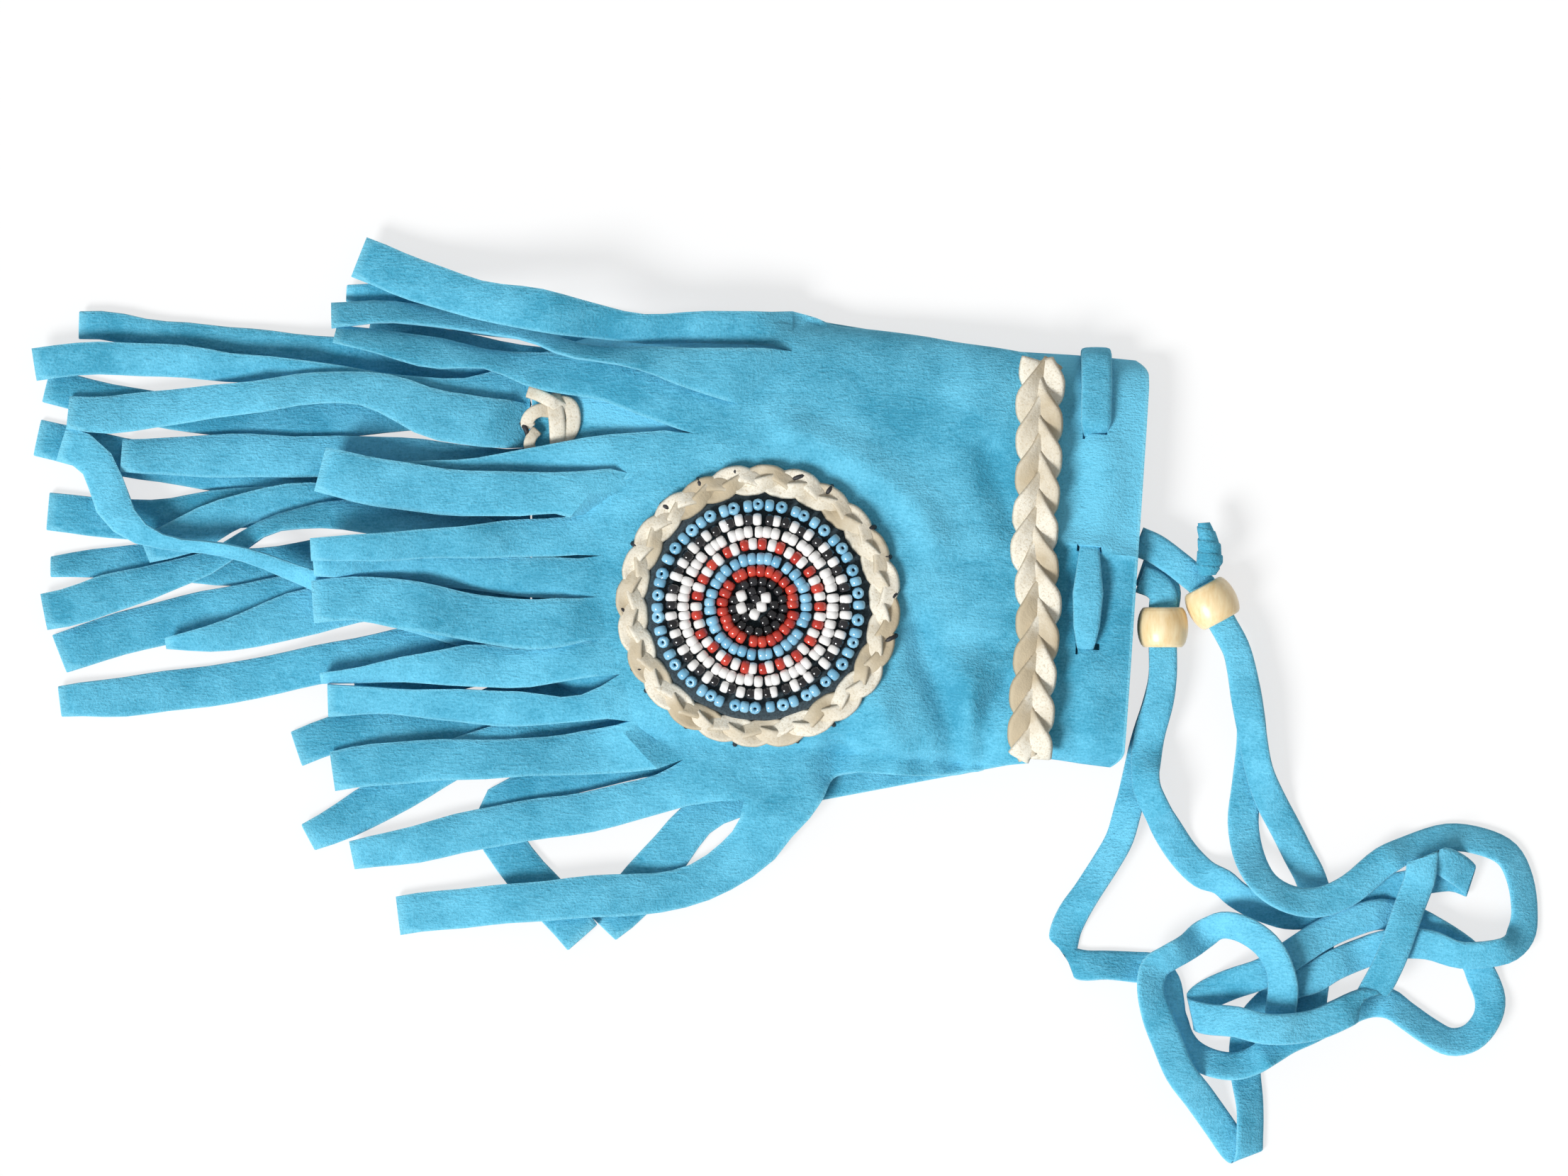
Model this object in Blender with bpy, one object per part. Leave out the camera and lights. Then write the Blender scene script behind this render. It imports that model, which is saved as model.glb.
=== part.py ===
"""Fringed suede drawstring pouch with a beaded rosette, lying on its back, mouth towards +X.

Lengths are in millimetres until add_mesh writes metres. Outlines traced in the top view are in
drawing units, 6 to the millimetre, with y running down the drawing.
"""

import math

import bmesh
import bpy
import numpy as np

# Driving dimensions, in millimetres
UNITS_PER_MM = 6.0
DRAWING_CENTRE = (835.5, 836.0)
SUEDE = 1.3  # thickness of every suede sheet and lace
GAP = 0.35  # clearance between one piece and the next
LACE_WIDTH = 7.3
LACE_WIDTH_IN_BEAD = 6.6
STRIP_STEP = 10.0
STRIP_SLOPE, LACE_SLOPE = 0.5, 0.8  # steepest rise where a fringe strip or a lace climbs over another
POUCH_LEFT, POUCH_RIGHT = -14.0, 130.6
POUCH_BASE = SUEDE + GAP
SEAM_HEIGHT = 3.0  # two suede layers and the stitch between them
CROWN = 7.6  # how far the filled-out front stands above the seam
SKIRT_OVERHANG = 3.0
BEAD_RADIUS, BEAD_RIM_RADIUS, BEAD_BORE = 6.0, 4.5, 3.95
BEAD_LENGTH = 9.4
BEAD_HEIGHT = 6.2  # wood bead's axis above the table
BEAD_1 = (133.9, -8.1)
BEAD_2 = (145.5, -2.5)
BEAD_1_AXIS = (0.0, -1.0)
BEAD_2_AXIS = (0.48, -0.877)
ROSETTE = (39.1, -3.2)
FIRST_RING, RING_PITCH = 5.9, 2.95
SEED_RADIUS, SEED_PITCH = 1.32, 2.12
EDGE_PITCH = 2.85  # the outermost beads alternate side-on and end-on
BACKING_RADIUS, BACKING_THICKNESS = 26.6, 1.2
BRAID_RADIUS, BRAID_WIDTH, BRAID_HEIGHT = 30.6, 6.4, 2.4
CUFF_SLITS = ((116.0, 37.0), (116.4, 11.0), (116.0, -13.2))
SLIT_LENGTH, SLIT_WIDTH = 8.6, 4.6
DRAWSTRING_X = 116.2
ROLLED_LENGTH = 12.4

# Ends of the slits between the front strips, from the top of the drawing to the bottom
FRONT_SLITS = ((1118, 440), (1118, 497), (1044, 571), (979, 613), (903, 672), (824, 727), (849, 784),
               (845, 842), (852, 900), (875, 951), (890, 1017), (966, 1070), (1050, 1128), (1142, 1154))
# Each strip: centre x, y and width, from its slit ends to its tip; the first strips lie lowest
FRONT_STRIPS = {
    12: ((1060, 1196, 70), (1000, 1236, 58), (940, 1258, 56), (870, 1263, 60), (750, 1270, 56), (640, 1283, 56),
         (562, 1292, 55)),
    11: ((960, 1112, 56), (860, 1138, 57), (730, 1160, 58), (600, 1187, 54), (497, 1206, 40)),
    9: ((811, 998, 36), (732, 1000, 50), (639, 996, 46), (554, 988, 36), (464, 988, 46)),
    10: ((866, 1058, 68), (760, 1068, 54), (640, 1070, 58), (545, 1078, 60), (470, 1088, 56)),
    8: ((820, 932, 52), (740, 940, 56), (668, 938, 60), (607, 943, 45), (514, 951, 24), (454, 956, 16)),
    6: ((790, 815, 58), (700, 812, 52), (610, 804, 42), (530, 800, 32), (446, 803, 24)),
    7: ((800, 877, 68), (740, 882, 70), (660, 868, 66), (575, 852, 70), (505, 846, 62), (444, 849, 60)),
    5: ((790, 757, 54), (716, 760, 52), (624, 768, 42), (540, 772, 40), (443, 774, 32)),
    3: ((880, 642, 60), (793, 650, 50), (720, 662, 48), (640, 672, 46), (560, 676, 44)),
    4: ((800, 697, 60), (751, 697, 62), (681, 696, 64), (603, 692, 66), (531, 681, 68), (454, 662, 64)),
    2: ((930, 562, 62), (846, 534, 64), (760, 524, 52), (690, 506, 28), (616, 500, 45), (545, 486, 36), (475, 471, 26)),
    1: ((986, 521, 62), (925, 508, 40), (867, 504, 24), (800, 493, 22), (737, 467, 22), (650, 453, 25),
        (560, 442, 30), (469, 444, 36)),
    0: ((1016, 464, 46), (891, 463, 42), (770, 443, 60), (680, 424, 55), (590, 397, 60), (507, 365, 60)),
}
BACK_SLITS = ((1112, 446), (1100, 520), (1090, 600), (1080, 760), (1075, 880), (1070, 960), (1075, 1020),
              (1085, 1080), (1100, 1140))
BACK_STRIPS = {
    0: ((1000, 480, 60), (880, 470, 60), (760, 455, 60), (640, 438, 54), (560, 424, 46), (489, 416, 24)),
    4: ((950, 932, 54), (840, 950, 54), (745, 975, 54), (660, 1010, 54), (600, 1028, 54), (500, 1030, 54),
        (418, 1055, 52)),
    5: ((950, 992, 54), (840, 1010, 54), (745, 1035, 54), (660, 1062, 56), (600, 1095, 60), (520, 1138, 60),
        (435, 1181, 42)),
    7: ((1000, 1145, 54), (940, 1205, 62), (890, 1265, 66), (850, 1308, 54)),
    6: ((960, 1064, 54), (840, 1085, 54), (750, 1112, 56), (700, 1150, 62), (725, 1210, 60), (775, 1268, 62),
        (822, 1322, 56)),
    1: ((950, 545, 56), (850, 532, 56), (760, 516, 54), (680, 500, 52), (600, 485, 52), (520, 470, 50)),
    3: ((950, 860, 56), (840, 890, 54), (745, 918, 54), (660, 945, 54), (600, 955, 50), (500, 962, 42)),
}
TAIL_SLITS = ((745, 508), (745, 570), (745, 632), (745, 694), (745, 756), (745, 818), (745, 880), (745, 942))
LOWER_TAIL_STRIPS = {
    0: ((650, 515, 54), (560, 506, 48), (430, 495, 44), (341, 487, 50), (280, 481, 52), (221, 475, 46),
        (163, 463, 42), (112, 460, 40)),
    1: ((640, 575, 54), (500, 590, 54), (340, 592, 52), (200, 575, 50), (120, 556, 50), (66, 543, 50)),
    2: ((620, 660, 56), (480, 668, 56), (340, 670, 56), (200, 648, 56), (53, 618, 53)),
    3: ((620, 715, 56), (480, 716, 58), (340, 717, 58), (200, 733, 58), (68, 723, 54)),
    4: ((620, 775, 56), (480, 785, 56), (360, 800, 54), (226, 792, 50), (150, 795, 44), (72, 798, 30)),
    5: ((620, 835, 56), (480, 838, 60), (400, 842, 62), (300, 864, 64), (200, 887, 62), (130, 905, 60),
        (84, 922, 58)),
    6: ((640, 905, 56), (520, 925, 58), (423, 942, 56), (339, 963, 58), (250, 973, 58), (170, 982, 56), (85, 991, 44)),
}
UPPER_TAIL_STRIPS = {
    0: ((650, 560, 50), (540, 545, 40), (430, 530, 40), (340, 520, 40), (260, 510, 46), (110, 508, 46), (50, 514, 46)),
    2: ((640, 655, 60), (540, 647, 60), (430, 643, 58), (323, 644, 62), (247, 645, 54), (173, 641, 46)),
    3: ((620, 715, 56), (500, 712, 56), (430, 708, 54), (349, 718, 44), (285, 745, 56), (206, 775, 40)),
    4: ((640, 745, 56), (500, 728, 44), (400, 736, 24), (353, 757, 24), (290, 795, 34), (221, 820, 46),
        (156, 838, 56), (114, 851, 55), (63, 862, 52)),
    5: ((620, 835, 60), (500, 850, 62), (423, 866, 66), (367, 882, 56), (300, 902, 38), (235, 908, 16)),
    1: ((739, 600, 66), (690, 597, 70), (620, 585, 70), (560, 562, 60), (503, 549, 46), (430, 551, 45),
        (336, 563, 46), (250, 575, 50), (168, 585, 54), (98, 581, 46)),
    6: ((640, 880, 56), (540, 860, 40), (430, 812, 26), (316, 777, 18), (245, 768, 18), (196, 748, 34),
        (163, 714, 52), (146, 672, 50), (128, 642, 50), (88, 627, 52)),
}

# Free laces: x, y, rank where one crosses another (higher lies on top), least height of the underside
LACE_A = (
    (128.0, 12.0, 1, 6.2), (132.0, 10.3, 1, 5.6), (136.0, 7.6, 1, 4.9), (139.8, 4.6, 1, 4.7), (143.25, 1.6, 1, 4.7),
    (145.45, -2.5, 1, 4.7), (147.7, -6.7, 1, 4.7), (150.8, -12.6, 1, 4.7), (153.0, -19.0, 1, 2.0),
    (154.5, -27.5, 1, 0), (155.0, -35.5, 1, 0), (154.0, -45.0, 1, 0), (153.0, -54.0, 2.5, 0), (154.5, -62.5, 5, 0),
    (158.0, -68.5, 5, 0), (164.0, -72.0, 5, 0), (171.0, -72.5, 5, 0), (178.0, -69.5, 5, 0), (186.0, -63.0, 5, 0),
    (192.5, -60.0, 5, 0), (201.0, -57.5, 5, 0), (209.0, -58.5, 5, 0), (215.0, -61.5, 5, 0), (218.0, -67.5, 5, 0),
    (219.0, -75.0, 5, 0), (218.0, -80.5, 5, 0), (214.0, -84.0, 5, 0), (204.0, -85.0, 5, 0), (196.0, -82.5, 5, 0),
    (187.5, -82.5, 5, 0), (180.0, -85.0, 5, 0), (174.0, -87.5, 2, 0), (169.0, -90.5, 2, 0), (164.0, -92.0, 2, 0),
    (160.0, -95.5, 2, 0), (155.5, -100.5, 2, 0), (153.5, -105.5, 2, 0), (153.5, -112.5, 1, 0), (154.5, -120.5, 1, 0),
    (154.5, -127.5, 1, 0), (154.0, -132.5, 2, 0), (151.0, -130.5, 2, 0), (147.5, -125.5, 7, 0), (142.5, -118.5, 7, 0),
    (138.0, -112.5, 7, 0), (135.0, -105.5, 7, 0), (132.5, -99.0, 7, 0), (131.0, -93.0, 6, 0), (132.0, -88.0, 6, 0),
    (135.5, -85.5, 6, 0), (140.0, -83.0, 6, 0), (144.0, -80.0, 6, 0), (148.0, -78.0, 6, 0), (153.0, -79.0, 6, 0),
    (158.0, -82.5, 6, 0), (161.0, -87.5, 6, 0), (162.0, -93.0, 6, 0), (161.5, -99.0, 6, 0), (163.0, -104.0, 3, 0),
    (168.0, -101.0, 3, 0), (169.5, -93.5, 1, 0), (170.5, -85.0, 1, 0), (171.0, -75.5, 1, 0), (169.0, -67.5, 3, 0),
    (166.0, -61.5, 3, 0),
    (163.0, -55.5, 3, 0), (159.0, -48.0, 3, 0), (156.5, -41.5, 3, 0), (155.0, -34.0, 3, 0), (153.5, -25.0, 3, 0),
    (152.3, -18.0, 3, 4.2), (150.8, -12.6, 3, 6.4), (147.5, -6.6, 3, 6.4), (145.2, -2.4, 3, 6.4), (143.0, 1.7, 3, 6.4),
)
LACE_B = (
    (128.5, 3.2, 2, 6.5), (132.0, 1.8, 2, 6.4), (133.9, -0.5, 2, 6.4), (133.9, -3.5, 2, 6.4), (133.9, -8.0, 2, 6.4),
    (133.9, -12.0, 2, 6.4), (133.9, -19.5, 2, 6.0), (133.0, -25.5, 2, 3.6), (131.0, -32.5, 2, 0),
    (130.0, -39.0, 2, 0), (130.0, -45.0, 2, 0), (132.0, -50.0, 2, 0), (135.0, -55.5, 2, 0), (139.0, -61.5, 2, 0),
    (143.5, -66.0, 2, 0), (148.0, -68.0, 2, 0), (151.5, -71.0, 2, 0), (157.0, -74.0, 2, 0), (163.0, -75.5, 2, 0),
    (170.0, -75.0, 2, 0), (177.5, -72.5, 2, 0), (186.0, -70.0, 2, 0), (194.0, -68.0, 2, 0), (201.5, -67.0, 3, 0),
    (206.5, -68.0, 9, 0), (202.5, -64.5, 9, 0), (195.5, -61.5, 9, 0), (194.0, -67.5, 9, 0), (191.0, -75.5, 9, 0),
    (188.0, -84.0, 9, 0), (184.5, -91.5, 9, 0), (181.5, -95.5, 9, 0), (176.0, -98.5, 8, 0), (170.0, -101.0, 8, 0),
    (164.0, -102.0, 8, 0), (157.5, -102.0, 8, 0), (151.0, -100.5, 8, 0), (144.0, -100.0, 8, 0), (140.5, -98.5, 4, 0),
    (144.0, -95.0, 4, 0), (150.0, -92.0, 4, 0), (158.0, -89.0, 4, 0), (164.0, -85.0, 4, 0), (171.0, -80.5, 4, 0),
    (177.5, -77.5, 4, 0), (185.0, -75.5, 4, 0), (192.5, -77.0, 2, 0), (199.0, -80.0, 2, 0), (206.0, -85.0, 2, 0),
    (209.0, -90.0, 2, 0), (211.0, -95.5, 2, 0), (210.0, -100.5, 2, 0), (206.5, -104.5, 7, 0), (201.5, -105.5, 7, 0),
    (196.5, -103.0, 7, 0), (191.5, -99.5, 7, 0), (187.0, -96.5, 7, 0), (181.5, -96.5, 7, 0), (174.0, -99.5, 7, 0),
    (167.5, -102.5, 7, 0), (163.0, -104.5, 7, 0), (159.0, -107.0, 7, 0), (155.5, -109.5, 7, 0), (151.0, -111.0, 7, 0),
    (146.0, -110.5, 6, 0), (141.5, -108.5, 4, 0), (138.0, -105.0, 4, 0), (136.5, -100.5, 4, 0), (136.0, -96.5, 4, 0),
    (135.0, -91.5, 4, 0), (132.0, -88.5, 4, 0), (127.5, -88.0, 0, 0), (121.0, -87.5, 0, 0), (115.0, -87.5, 0, 0),
    (111.0, -85.5, 0, 0), (111.0, -80.5, 0, 0), (113.0, -75.5, 0, 0), (116.5, -70.0, 0, 0), (121.0, -63.0, 0, 0),
    (124.0, -57.5, 0, 0), (126.0, -50.5, 0, 0), (128.0, -44.0, 0, 0), (130.0, -35.5, 0, 0), (132.5, -27.0, 0, 1.8),
    (133.9, -19.5, 0, 4.3), (133.9, -12.0, 0, 4.7), (133.9, -8.0, 0, 4.7), (133.9, -3.5, 0, 4.7),
    (133.9, -0.5, 0, 4.7), (132.0, 1.8, 0, 4.7), (128.5, 3.2, 0, 4.7),
)
COLOURS = {
    "suede": (0.08, 0.36, 0.50), "lace": (0.09, 0.40, 0.56), "tan": (0.66, 0.55, 0.38), "wood": (0.76, 0.55, 0.25),
    "black": (0.02, 0.02, 0.02), "white": (0.85, 0.84, 0.82), "red": (0.55, 0.06, 0.04), "blue": (0.19, 0.48, 0.70),
}


def clear_scene():
    for old in list(bpy.data.objects):
        bpy.data.objects.remove(old)


def material(name):
    """The shared material of one colour."""
    found = bpy.data.materials.get(name)
    if found:
        return found
    made = bpy.data.materials.new(name)
    made.use_nodes = True
    shader = made.node_tree.nodes["Principled BSDF"]
    shader.inputs["Base Color"].default_value = (*COLOURS[name], 1.0)
    shader.inputs["Roughness"].default_value = 0.25 if name in ("black", "white", "red", "blue") else 0.9
    return made


def add_mesh(name, points, faces, finish, smooth=False):
    """One closed body from millimetre points, with its faces turned outwards."""
    mesh = bpy.data.meshes.new(name)
    mesh.from_pydata([tuple(float(v) * 0.001 for v in p) for p in points], [], [tuple(map(int, f)) for f in faces])
    work = bmesh.new()
    work.from_mesh(mesh)
    bmesh.ops.recalc_face_normals(work, faces=work.faces)
    work.to_mesh(mesh)
    work.free()
    if smooth:
        mesh.shade_smooth()
        mesh.set_sharp_from_angle(angle=math.radians(40))
    mesh.materials.append(material(finish))
    made = bpy.data.objects.new(name, mesh)
    bpy.context.scene.collection.objects.link(made)
    return made


def from_drawing(x, y):
    return (x - DRAWING_CENTRE[0]) / UNITS_PER_MM, (DRAWING_CENTRE[1] - y) / UNITS_PER_MM


def pouch_centre(x):
    """The pouch's centreline leans a little up the drawing towards its bottom end."""
    return 18.5 - 0.0814 * (x - POUCH_LEFT)


def pouch_half_width(x):
    """Nearly constant, drawn in at the bottom corners."""
    along = np.clip((x - POUCH_LEFT) / 34.0, 0.0, 1.0)
    return 37.0 + 9.5 * np.sin(along * math.pi / 2) + 1.3 * np.clip((x - 60.0) / 60.0, 0.0, 1.0)


def crown(x):
    """Height of the filled-out front above the seam: low at the bottom seam and at the mouth."""
    rise = np.clip((x - POUCH_LEFT) / 40.0, 0.0, 1.0)
    fall = np.clip((x - 95.0) / 40.0, 0.0, 1.0)
    return CROWN * (0.25 + 0.75 * np.sin(rise * math.pi / 2)) - 0.8 * fall


def dome(x, y, overhang=0.0):
    """Height of the front above the seam: a flat-topped arch, (1 - |v| to the 6th) to the 0.6."""
    across = np.abs((y - pouch_centre(x)) / (pouch_half_width(x) + overhang))
    return crown(x) * np.clip(1.0 - across ** 6, 0.0, 1.0) ** 0.6


def pouch_top(x, y):
    return POUCH_BASE + SEAM_HEIGHT + dome(x, y)


def skirt_top(x, y):
    """Outer face of the front skirt, one layer above the pouch and dropping at the skirt's free edges."""
    return POUCH_BASE + GAP + SUEDE + SEAM_HEIGHT * 0.9 + dome(x, y, SKIRT_OVERHANG) + 0.3


def resample(points, step):
    """Points of a Catmull-Rom curve through the given ones, about one step apart, ends kept."""
    points = np.asarray(points, float)
    padded = np.vstack([2 * points[0] - points[1], points, 2 * points[-1] - points[-2]])
    t = np.linspace(0.0, 1.0, 13)[:-1, None]
    fine = [0.5 * ((2 * b) + (c - a) * t + (2 * a - 5 * b + 4 * c - d) * t ** 2 + (3 * b - a - 3 * c + d) * t ** 3)
            for a, b, c, d in zip(padded, padded[1:], padded[2:], padded[3:])]
    fine = np.vstack(fine + [points[-1:]])
    run = np.concatenate([[0.0], np.cumsum(np.hypot(*np.diff(fine[:, :2], axis=0).T))])
    count = max(2, int(round(run[-1] / step)) + 1)
    at = np.linspace(0.0, run[-1], count)
    return np.column_stack([np.interp(at, run, column) for column in fine.T])


def settle(paths, sheets, slope, clearance):
    """Least heights at which strips lie over one another.

    Each path is x, y, width, rank and least height per station, and sheets says which piece it belongs
    to. Where two stretches meet in plan, or on different pieces come within clearance, the one of higher
    rank lies a thickness and a gap above the other, and no strip climbs steeper than slope.
    """
    owner = np.concatenate([np.full(len(p) - 1, i) for i, p in enumerate(paths)])
    first = np.concatenate([np.arange(len(p) - 1) for p in paths])
    start = np.cumsum([0] + [len(p) for p in paths])
    low = start[owner] + first
    every = np.vstack(paths)
    t = np.linspace(0.0, 1.0, 4)[None, :, None]
    discs = every[low][:, None, :3] * (1 - t) + every[low + 1][:, None, :3] * t
    rank = np.minimum(every[low, 3], every[low + 1, 3])
    reach = np.full((len(low), len(low)), np.inf)
    for i in range(4):
        for j in range(4):
            apart = discs[:, None, i, :2] - discs[None, :, j, :2]
            spread = np.hypot(apart[..., 0], apart[..., 1])
            reach = np.minimum(reach, spread - 0.5 * (discs[:, None, i, 2] + discs[None, :, j, 2]))
    sheet = np.asarray(sheets)[owner]
    margin = np.where(sheet[:, None] == sheet[None, :], -0.25, clearance)
    meets = (reach < margin) & (rank[:, None] > rank[None, :])
    near = (owner[:, None] == owner[None, :]) & (np.abs(first[:, None] - first[None, :]) < 4)
    upper, lower = np.nonzero(meets & ~near)
    height = every[:, 4].copy()
    runs = [np.hypot(*np.diff(p[:, :2], axis=0).T) for p in paths]
    for _ in range(60):
        before = height.copy()
        top = np.maximum(height[low], height[low + 1]) + SUEDE + GAP
        need = np.zeros(len(low))
        np.maximum.at(need, upper, top[lower])
        np.maximum.at(height, low, need)
        np.maximum.at(height, low + 1, need)
        for begin, run in zip(start, runs):
            for k, length in enumerate(run):
                height[begin + k + 1] = max(height[begin + k + 1], height[begin + k] - slope * length)
            for k in range(len(run) - 1, -1, -1):
                height[begin + k] = max(height[begin + k], height[begin + k + 1] - slope * run[k])
        if np.abs(height - before).max() < 1e-6:
            break
    return [height[a:b] for a, b in zip(start, start[1:])]


def sides(path):
    """Left and right edge points of a strip, from its centreline, its widths and its directions."""
    direction = np.gradient(path[:, :2], axis=0)
    direction /= np.maximum(np.hypot(*direction.T)[:, None], 1e-9)
    across = np.column_stack([-direction[:, 1], direction[:, 0]]) * path[:, 2:3] / 2
    return path[:, :2] + across, path[:, :2] - across


def ribbon(name, left, right, low, finish):
    """A flat strip of lace: two edge lines, the height of its underside, and the suede's thickness."""
    count = len(low)
    rings = np.empty((count, 4, 3))
    for corner, (edge, lift) in enumerate(((left, 0.0), (right, 0.0), (right, SUEDE), (left, SUEDE))):
        rings[:, corner, :2] = edge
        rings[:, corner, 2] = low + lift
    faces = [(4 * k + a, 4 * k + (a + 1) % 4, 4 * k + 4 + (a + 1) % 4, 4 * k + 4 + a)
             for k in range(count - 1) for a in range(4)]
    faces += [(3, 2, 1, 0), tuple(4 * (count - 1) + a for a in range(4))]
    return add_mesh(name, rings.reshape(-1, 3), faces, finish)


def strip_path(slits, slit, stations, rank):
    """Plan stations of one fringe strip, from between its slit ends, with its rank and least height."""
    (x1, y1), (x2, y2) = slits[slit], slits[slit + 1]
    root = ((x1 + x2) / 2, (y1 + y2) / 2, 0.85 * math.hypot(x2 - x1, y2 - y1))
    plan = np.array([(*from_drawing(x, y), width / UNITS_PER_MM) for x, y, width in (root, *stations)])
    plan = resample(plan, STRIP_STEP)
    return np.column_stack([plan, np.full(len(plan), float(rank)), np.zeros(len(plan))])


def panel_grid(slits, far, columns, height):
    """Top face of a sheet's uncut part: rows from each slit end to the far edge, lifted by height(x, y)."""
    near = np.array([from_drawing(*point) for point in slits])
    share = np.linspace(0.0, 1.0, columns)[None, :, None]
    grid = near[:, None, :] * (1 - share) + np.asarray(far)[:, None, :] * share
    return np.dstack([grid, height(grid[..., 0], grid[..., 1])])


def fringed_sheet(name, grid, fingers, finish="suede"):
    """One piece of suede: the uncut panel and a finger from between each two slit ends, given a thickness.

    fingers maps a slit's number to the left and right edges and the heights of its underside.
    """
    rows, columns = grid.shape[:2]
    points = []
    faces = []

    def add(point):
        points.append(point)
        points.append((point[0], point[1], point[2] - SUEDE))
        return len(points) - 2

    index = np.array([[add(grid[i, j]) for j in range(columns)] for i in range(rows)])

    def slab(a, b, c, d):
        faces.append((a, b, c, d))
        faces.append((a + 1, b + 1, c + 1, d + 1))

    def wall(a, b):
        faces.append((a, b, b + 1, a + 1))

    for i in range(rows - 1):
        for j in range(columns - 1):
            slab(index[i, j], index[i, j + 1], index[i + 1, j + 1], index[i + 1, j])
        wall(index[i, -1], index[i + 1, -1])
        if i not in fingers:
            wall(index[i, 0], index[i + 1, 0])
    for j in range(columns - 1):
        wall(index[0, j], index[0, j + 1])
        wall(index[-1, j], index[-1, j + 1])
    for i, (upper, lower, low) in fingers.items():
        a, b = index[i, 0], index[i + 1, 0]
        for k in range(len(low)):
            c = add((*upper[k], low[k] + SUEDE))
            d = add((*lower[k], low[k] + SUEDE))
            slab(a, b, d, c)
            wall(a, c)
            wall(b, d)
            a, b = c, d
        wall(a, b)
    return add_mesh(name, points, faces, finish)


def pouch_section(x, inset):
    """Closed loop of the pouch at x: arched front, upright seams and a flat back, moved in by inset."""
    half = pouch_half_width(x) - (0.0 if inset == 0 else SEAM_HEIGHT)
    across = np.sin(np.linspace(-1, 1, 11) * math.pi / 2)
    y = pouch_centre(x) + across * half
    top = pouch_top(x, y) - inset
    base = np.full_like(y, POUCH_BASE + inset)
    return np.vstack([np.column_stack([y, top]), np.column_stack([y, base])[::-1]])


def mouth_lean(x, y):
    """The mouth's edge is cut a little askew, farther back at the lower side of the drawing."""
    share = np.clip((x - 100.0) / (POUCH_RIGHT - 100.0), 0.0, 1.0)
    return -6.0 * share * np.clip((48.0 - y) / 90.0, 0.0, 1.1)


def inner_pouch():
    """Hollow pouch, closed at its bottom end and open at the mouth, with slits for the drawstring."""
    stations = np.concatenate([np.linspace(POUCH_LEFT, 26.0, 6), np.linspace(42.0, POUCH_RIGHT, 7)])
    points, faces, loops = [], [], []
    for inset, xs in ((0.0, stations), (SUEDE, stations + np.where(stations < 0, 1.5, 0.0) * (stations == stations[0]))):
        for x in xs:
            loop = pouch_section(x, inset)
            loops.append(np.arange(len(loop)) + len(points))
            shift = mouth_lean(x, loop[:, 0]) if x > 90 else 0.0
            points.extend(np.column_stack([np.full(len(loop), x) + shift, loop]))
    half = len(stations)

    def skin(a, b):
        faces.extend((a[k], a[(k + 1) % len(a)], b[(k + 1) % len(a)], b[k]) for k in range(len(a)))

    def cap(loop):
        side = len(loop) // 2
        faces.extend((loop[k], loop[k + 1], loop[-2 - k], loop[-1 - k]) for k in range(side - 1))

    for group in (loops[:half], loops[half:]):
        for a, b in zip(group, group[1:]):
            skin(a, b)
        cap(group[0])
    skin(loops[half - 1], loops[-1])
    pouch = add_mesh("inner_pouch", points, faces, "suede")
    for number, (x, y) in enumerate(CUFF_SLITS):
        z = float(pouch_top(x, y)) - SUEDE / 2
        corners = [(x + a * SLIT_LENGTH / 2, y + b * SLIT_WIDTH / 2, z + c * 2.2)
                   for a in (-1, 1) for b in (-1, 1) for c in (-1, 1)]
        box = [(0, 1, 3, 2), (4, 6, 7, 5), (0, 4, 5, 1), (2, 3, 7, 6), (0, 2, 6, 4), (1, 5, 7, 3)]
        cutter = add_mesh(f"slit_cutter_{number}", corners, box, "suede")
        cutter.hide_render = True
        cutter.display_type = "WIRE"
        cut = pouch.modifiers.new(f"slit_{number}", "BOOLEAN")
        cut.operation = "DIFFERENCE"
        cut.object = cutter
    return pouch


def front_skirt(paths, heights):
    """Front skirt: from the mouth braid to the slits, with its strips."""
    far = [from_drawing(1450, y) for y in np.linspace(500, 1076, len(FRONT_SLITS))]
    grid = panel_grid(FRONT_SLITS, far, 9, skirt_top)
    top = np.array([(1118, 440), (1150, 449), (1180, 460), (1240, 467), (1300, 475), (1350, 484), (1400, 491),
                    (1430, 496), (1450, 500)])
    low = np.array([(1142, 1154), (1160, 1128), (1176, 1098), (1205, 1089), (1260, 1092), (1310, 1094), (1370, 1087),
                    (1420, 1079), (1450, 1076)])
    for row, line in ((0, top), (-1, low)):
        grid[row, :, :2] = [from_drawing(x, y) for x, y in line]
    grid[..., 2] = skirt_top(grid[..., 0], grid[..., 1])
    return fringed_sheet("front_skirt", grid, cut_fingers(paths, heights))


def flat_panel_fringe(name, slits, far_x, far_y, underside, paths, heights, columns=3):
    """A flat sheet whose left edge is cut into strips."""
    far = [from_drawing(far_x, y) for y in np.linspace(*far_y, len(slits))]
    grid = panel_grid(slits, far, columns, lambda x, y: np.full_like(x, underside + SUEDE))
    return fringed_sheet(name, grid, cut_fingers(paths, heights))


def cut_fingers(paths, heights):
    """For each strip, its upper and lower edge in the drawing and its underside, past its slit ends."""
    fingers = {}
    for (slit, path), low in zip(paths, heights):
        left, right = sides(path)
        fingers[slit] = (right[1:], left[1:], low[1:])
    return fingers


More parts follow.
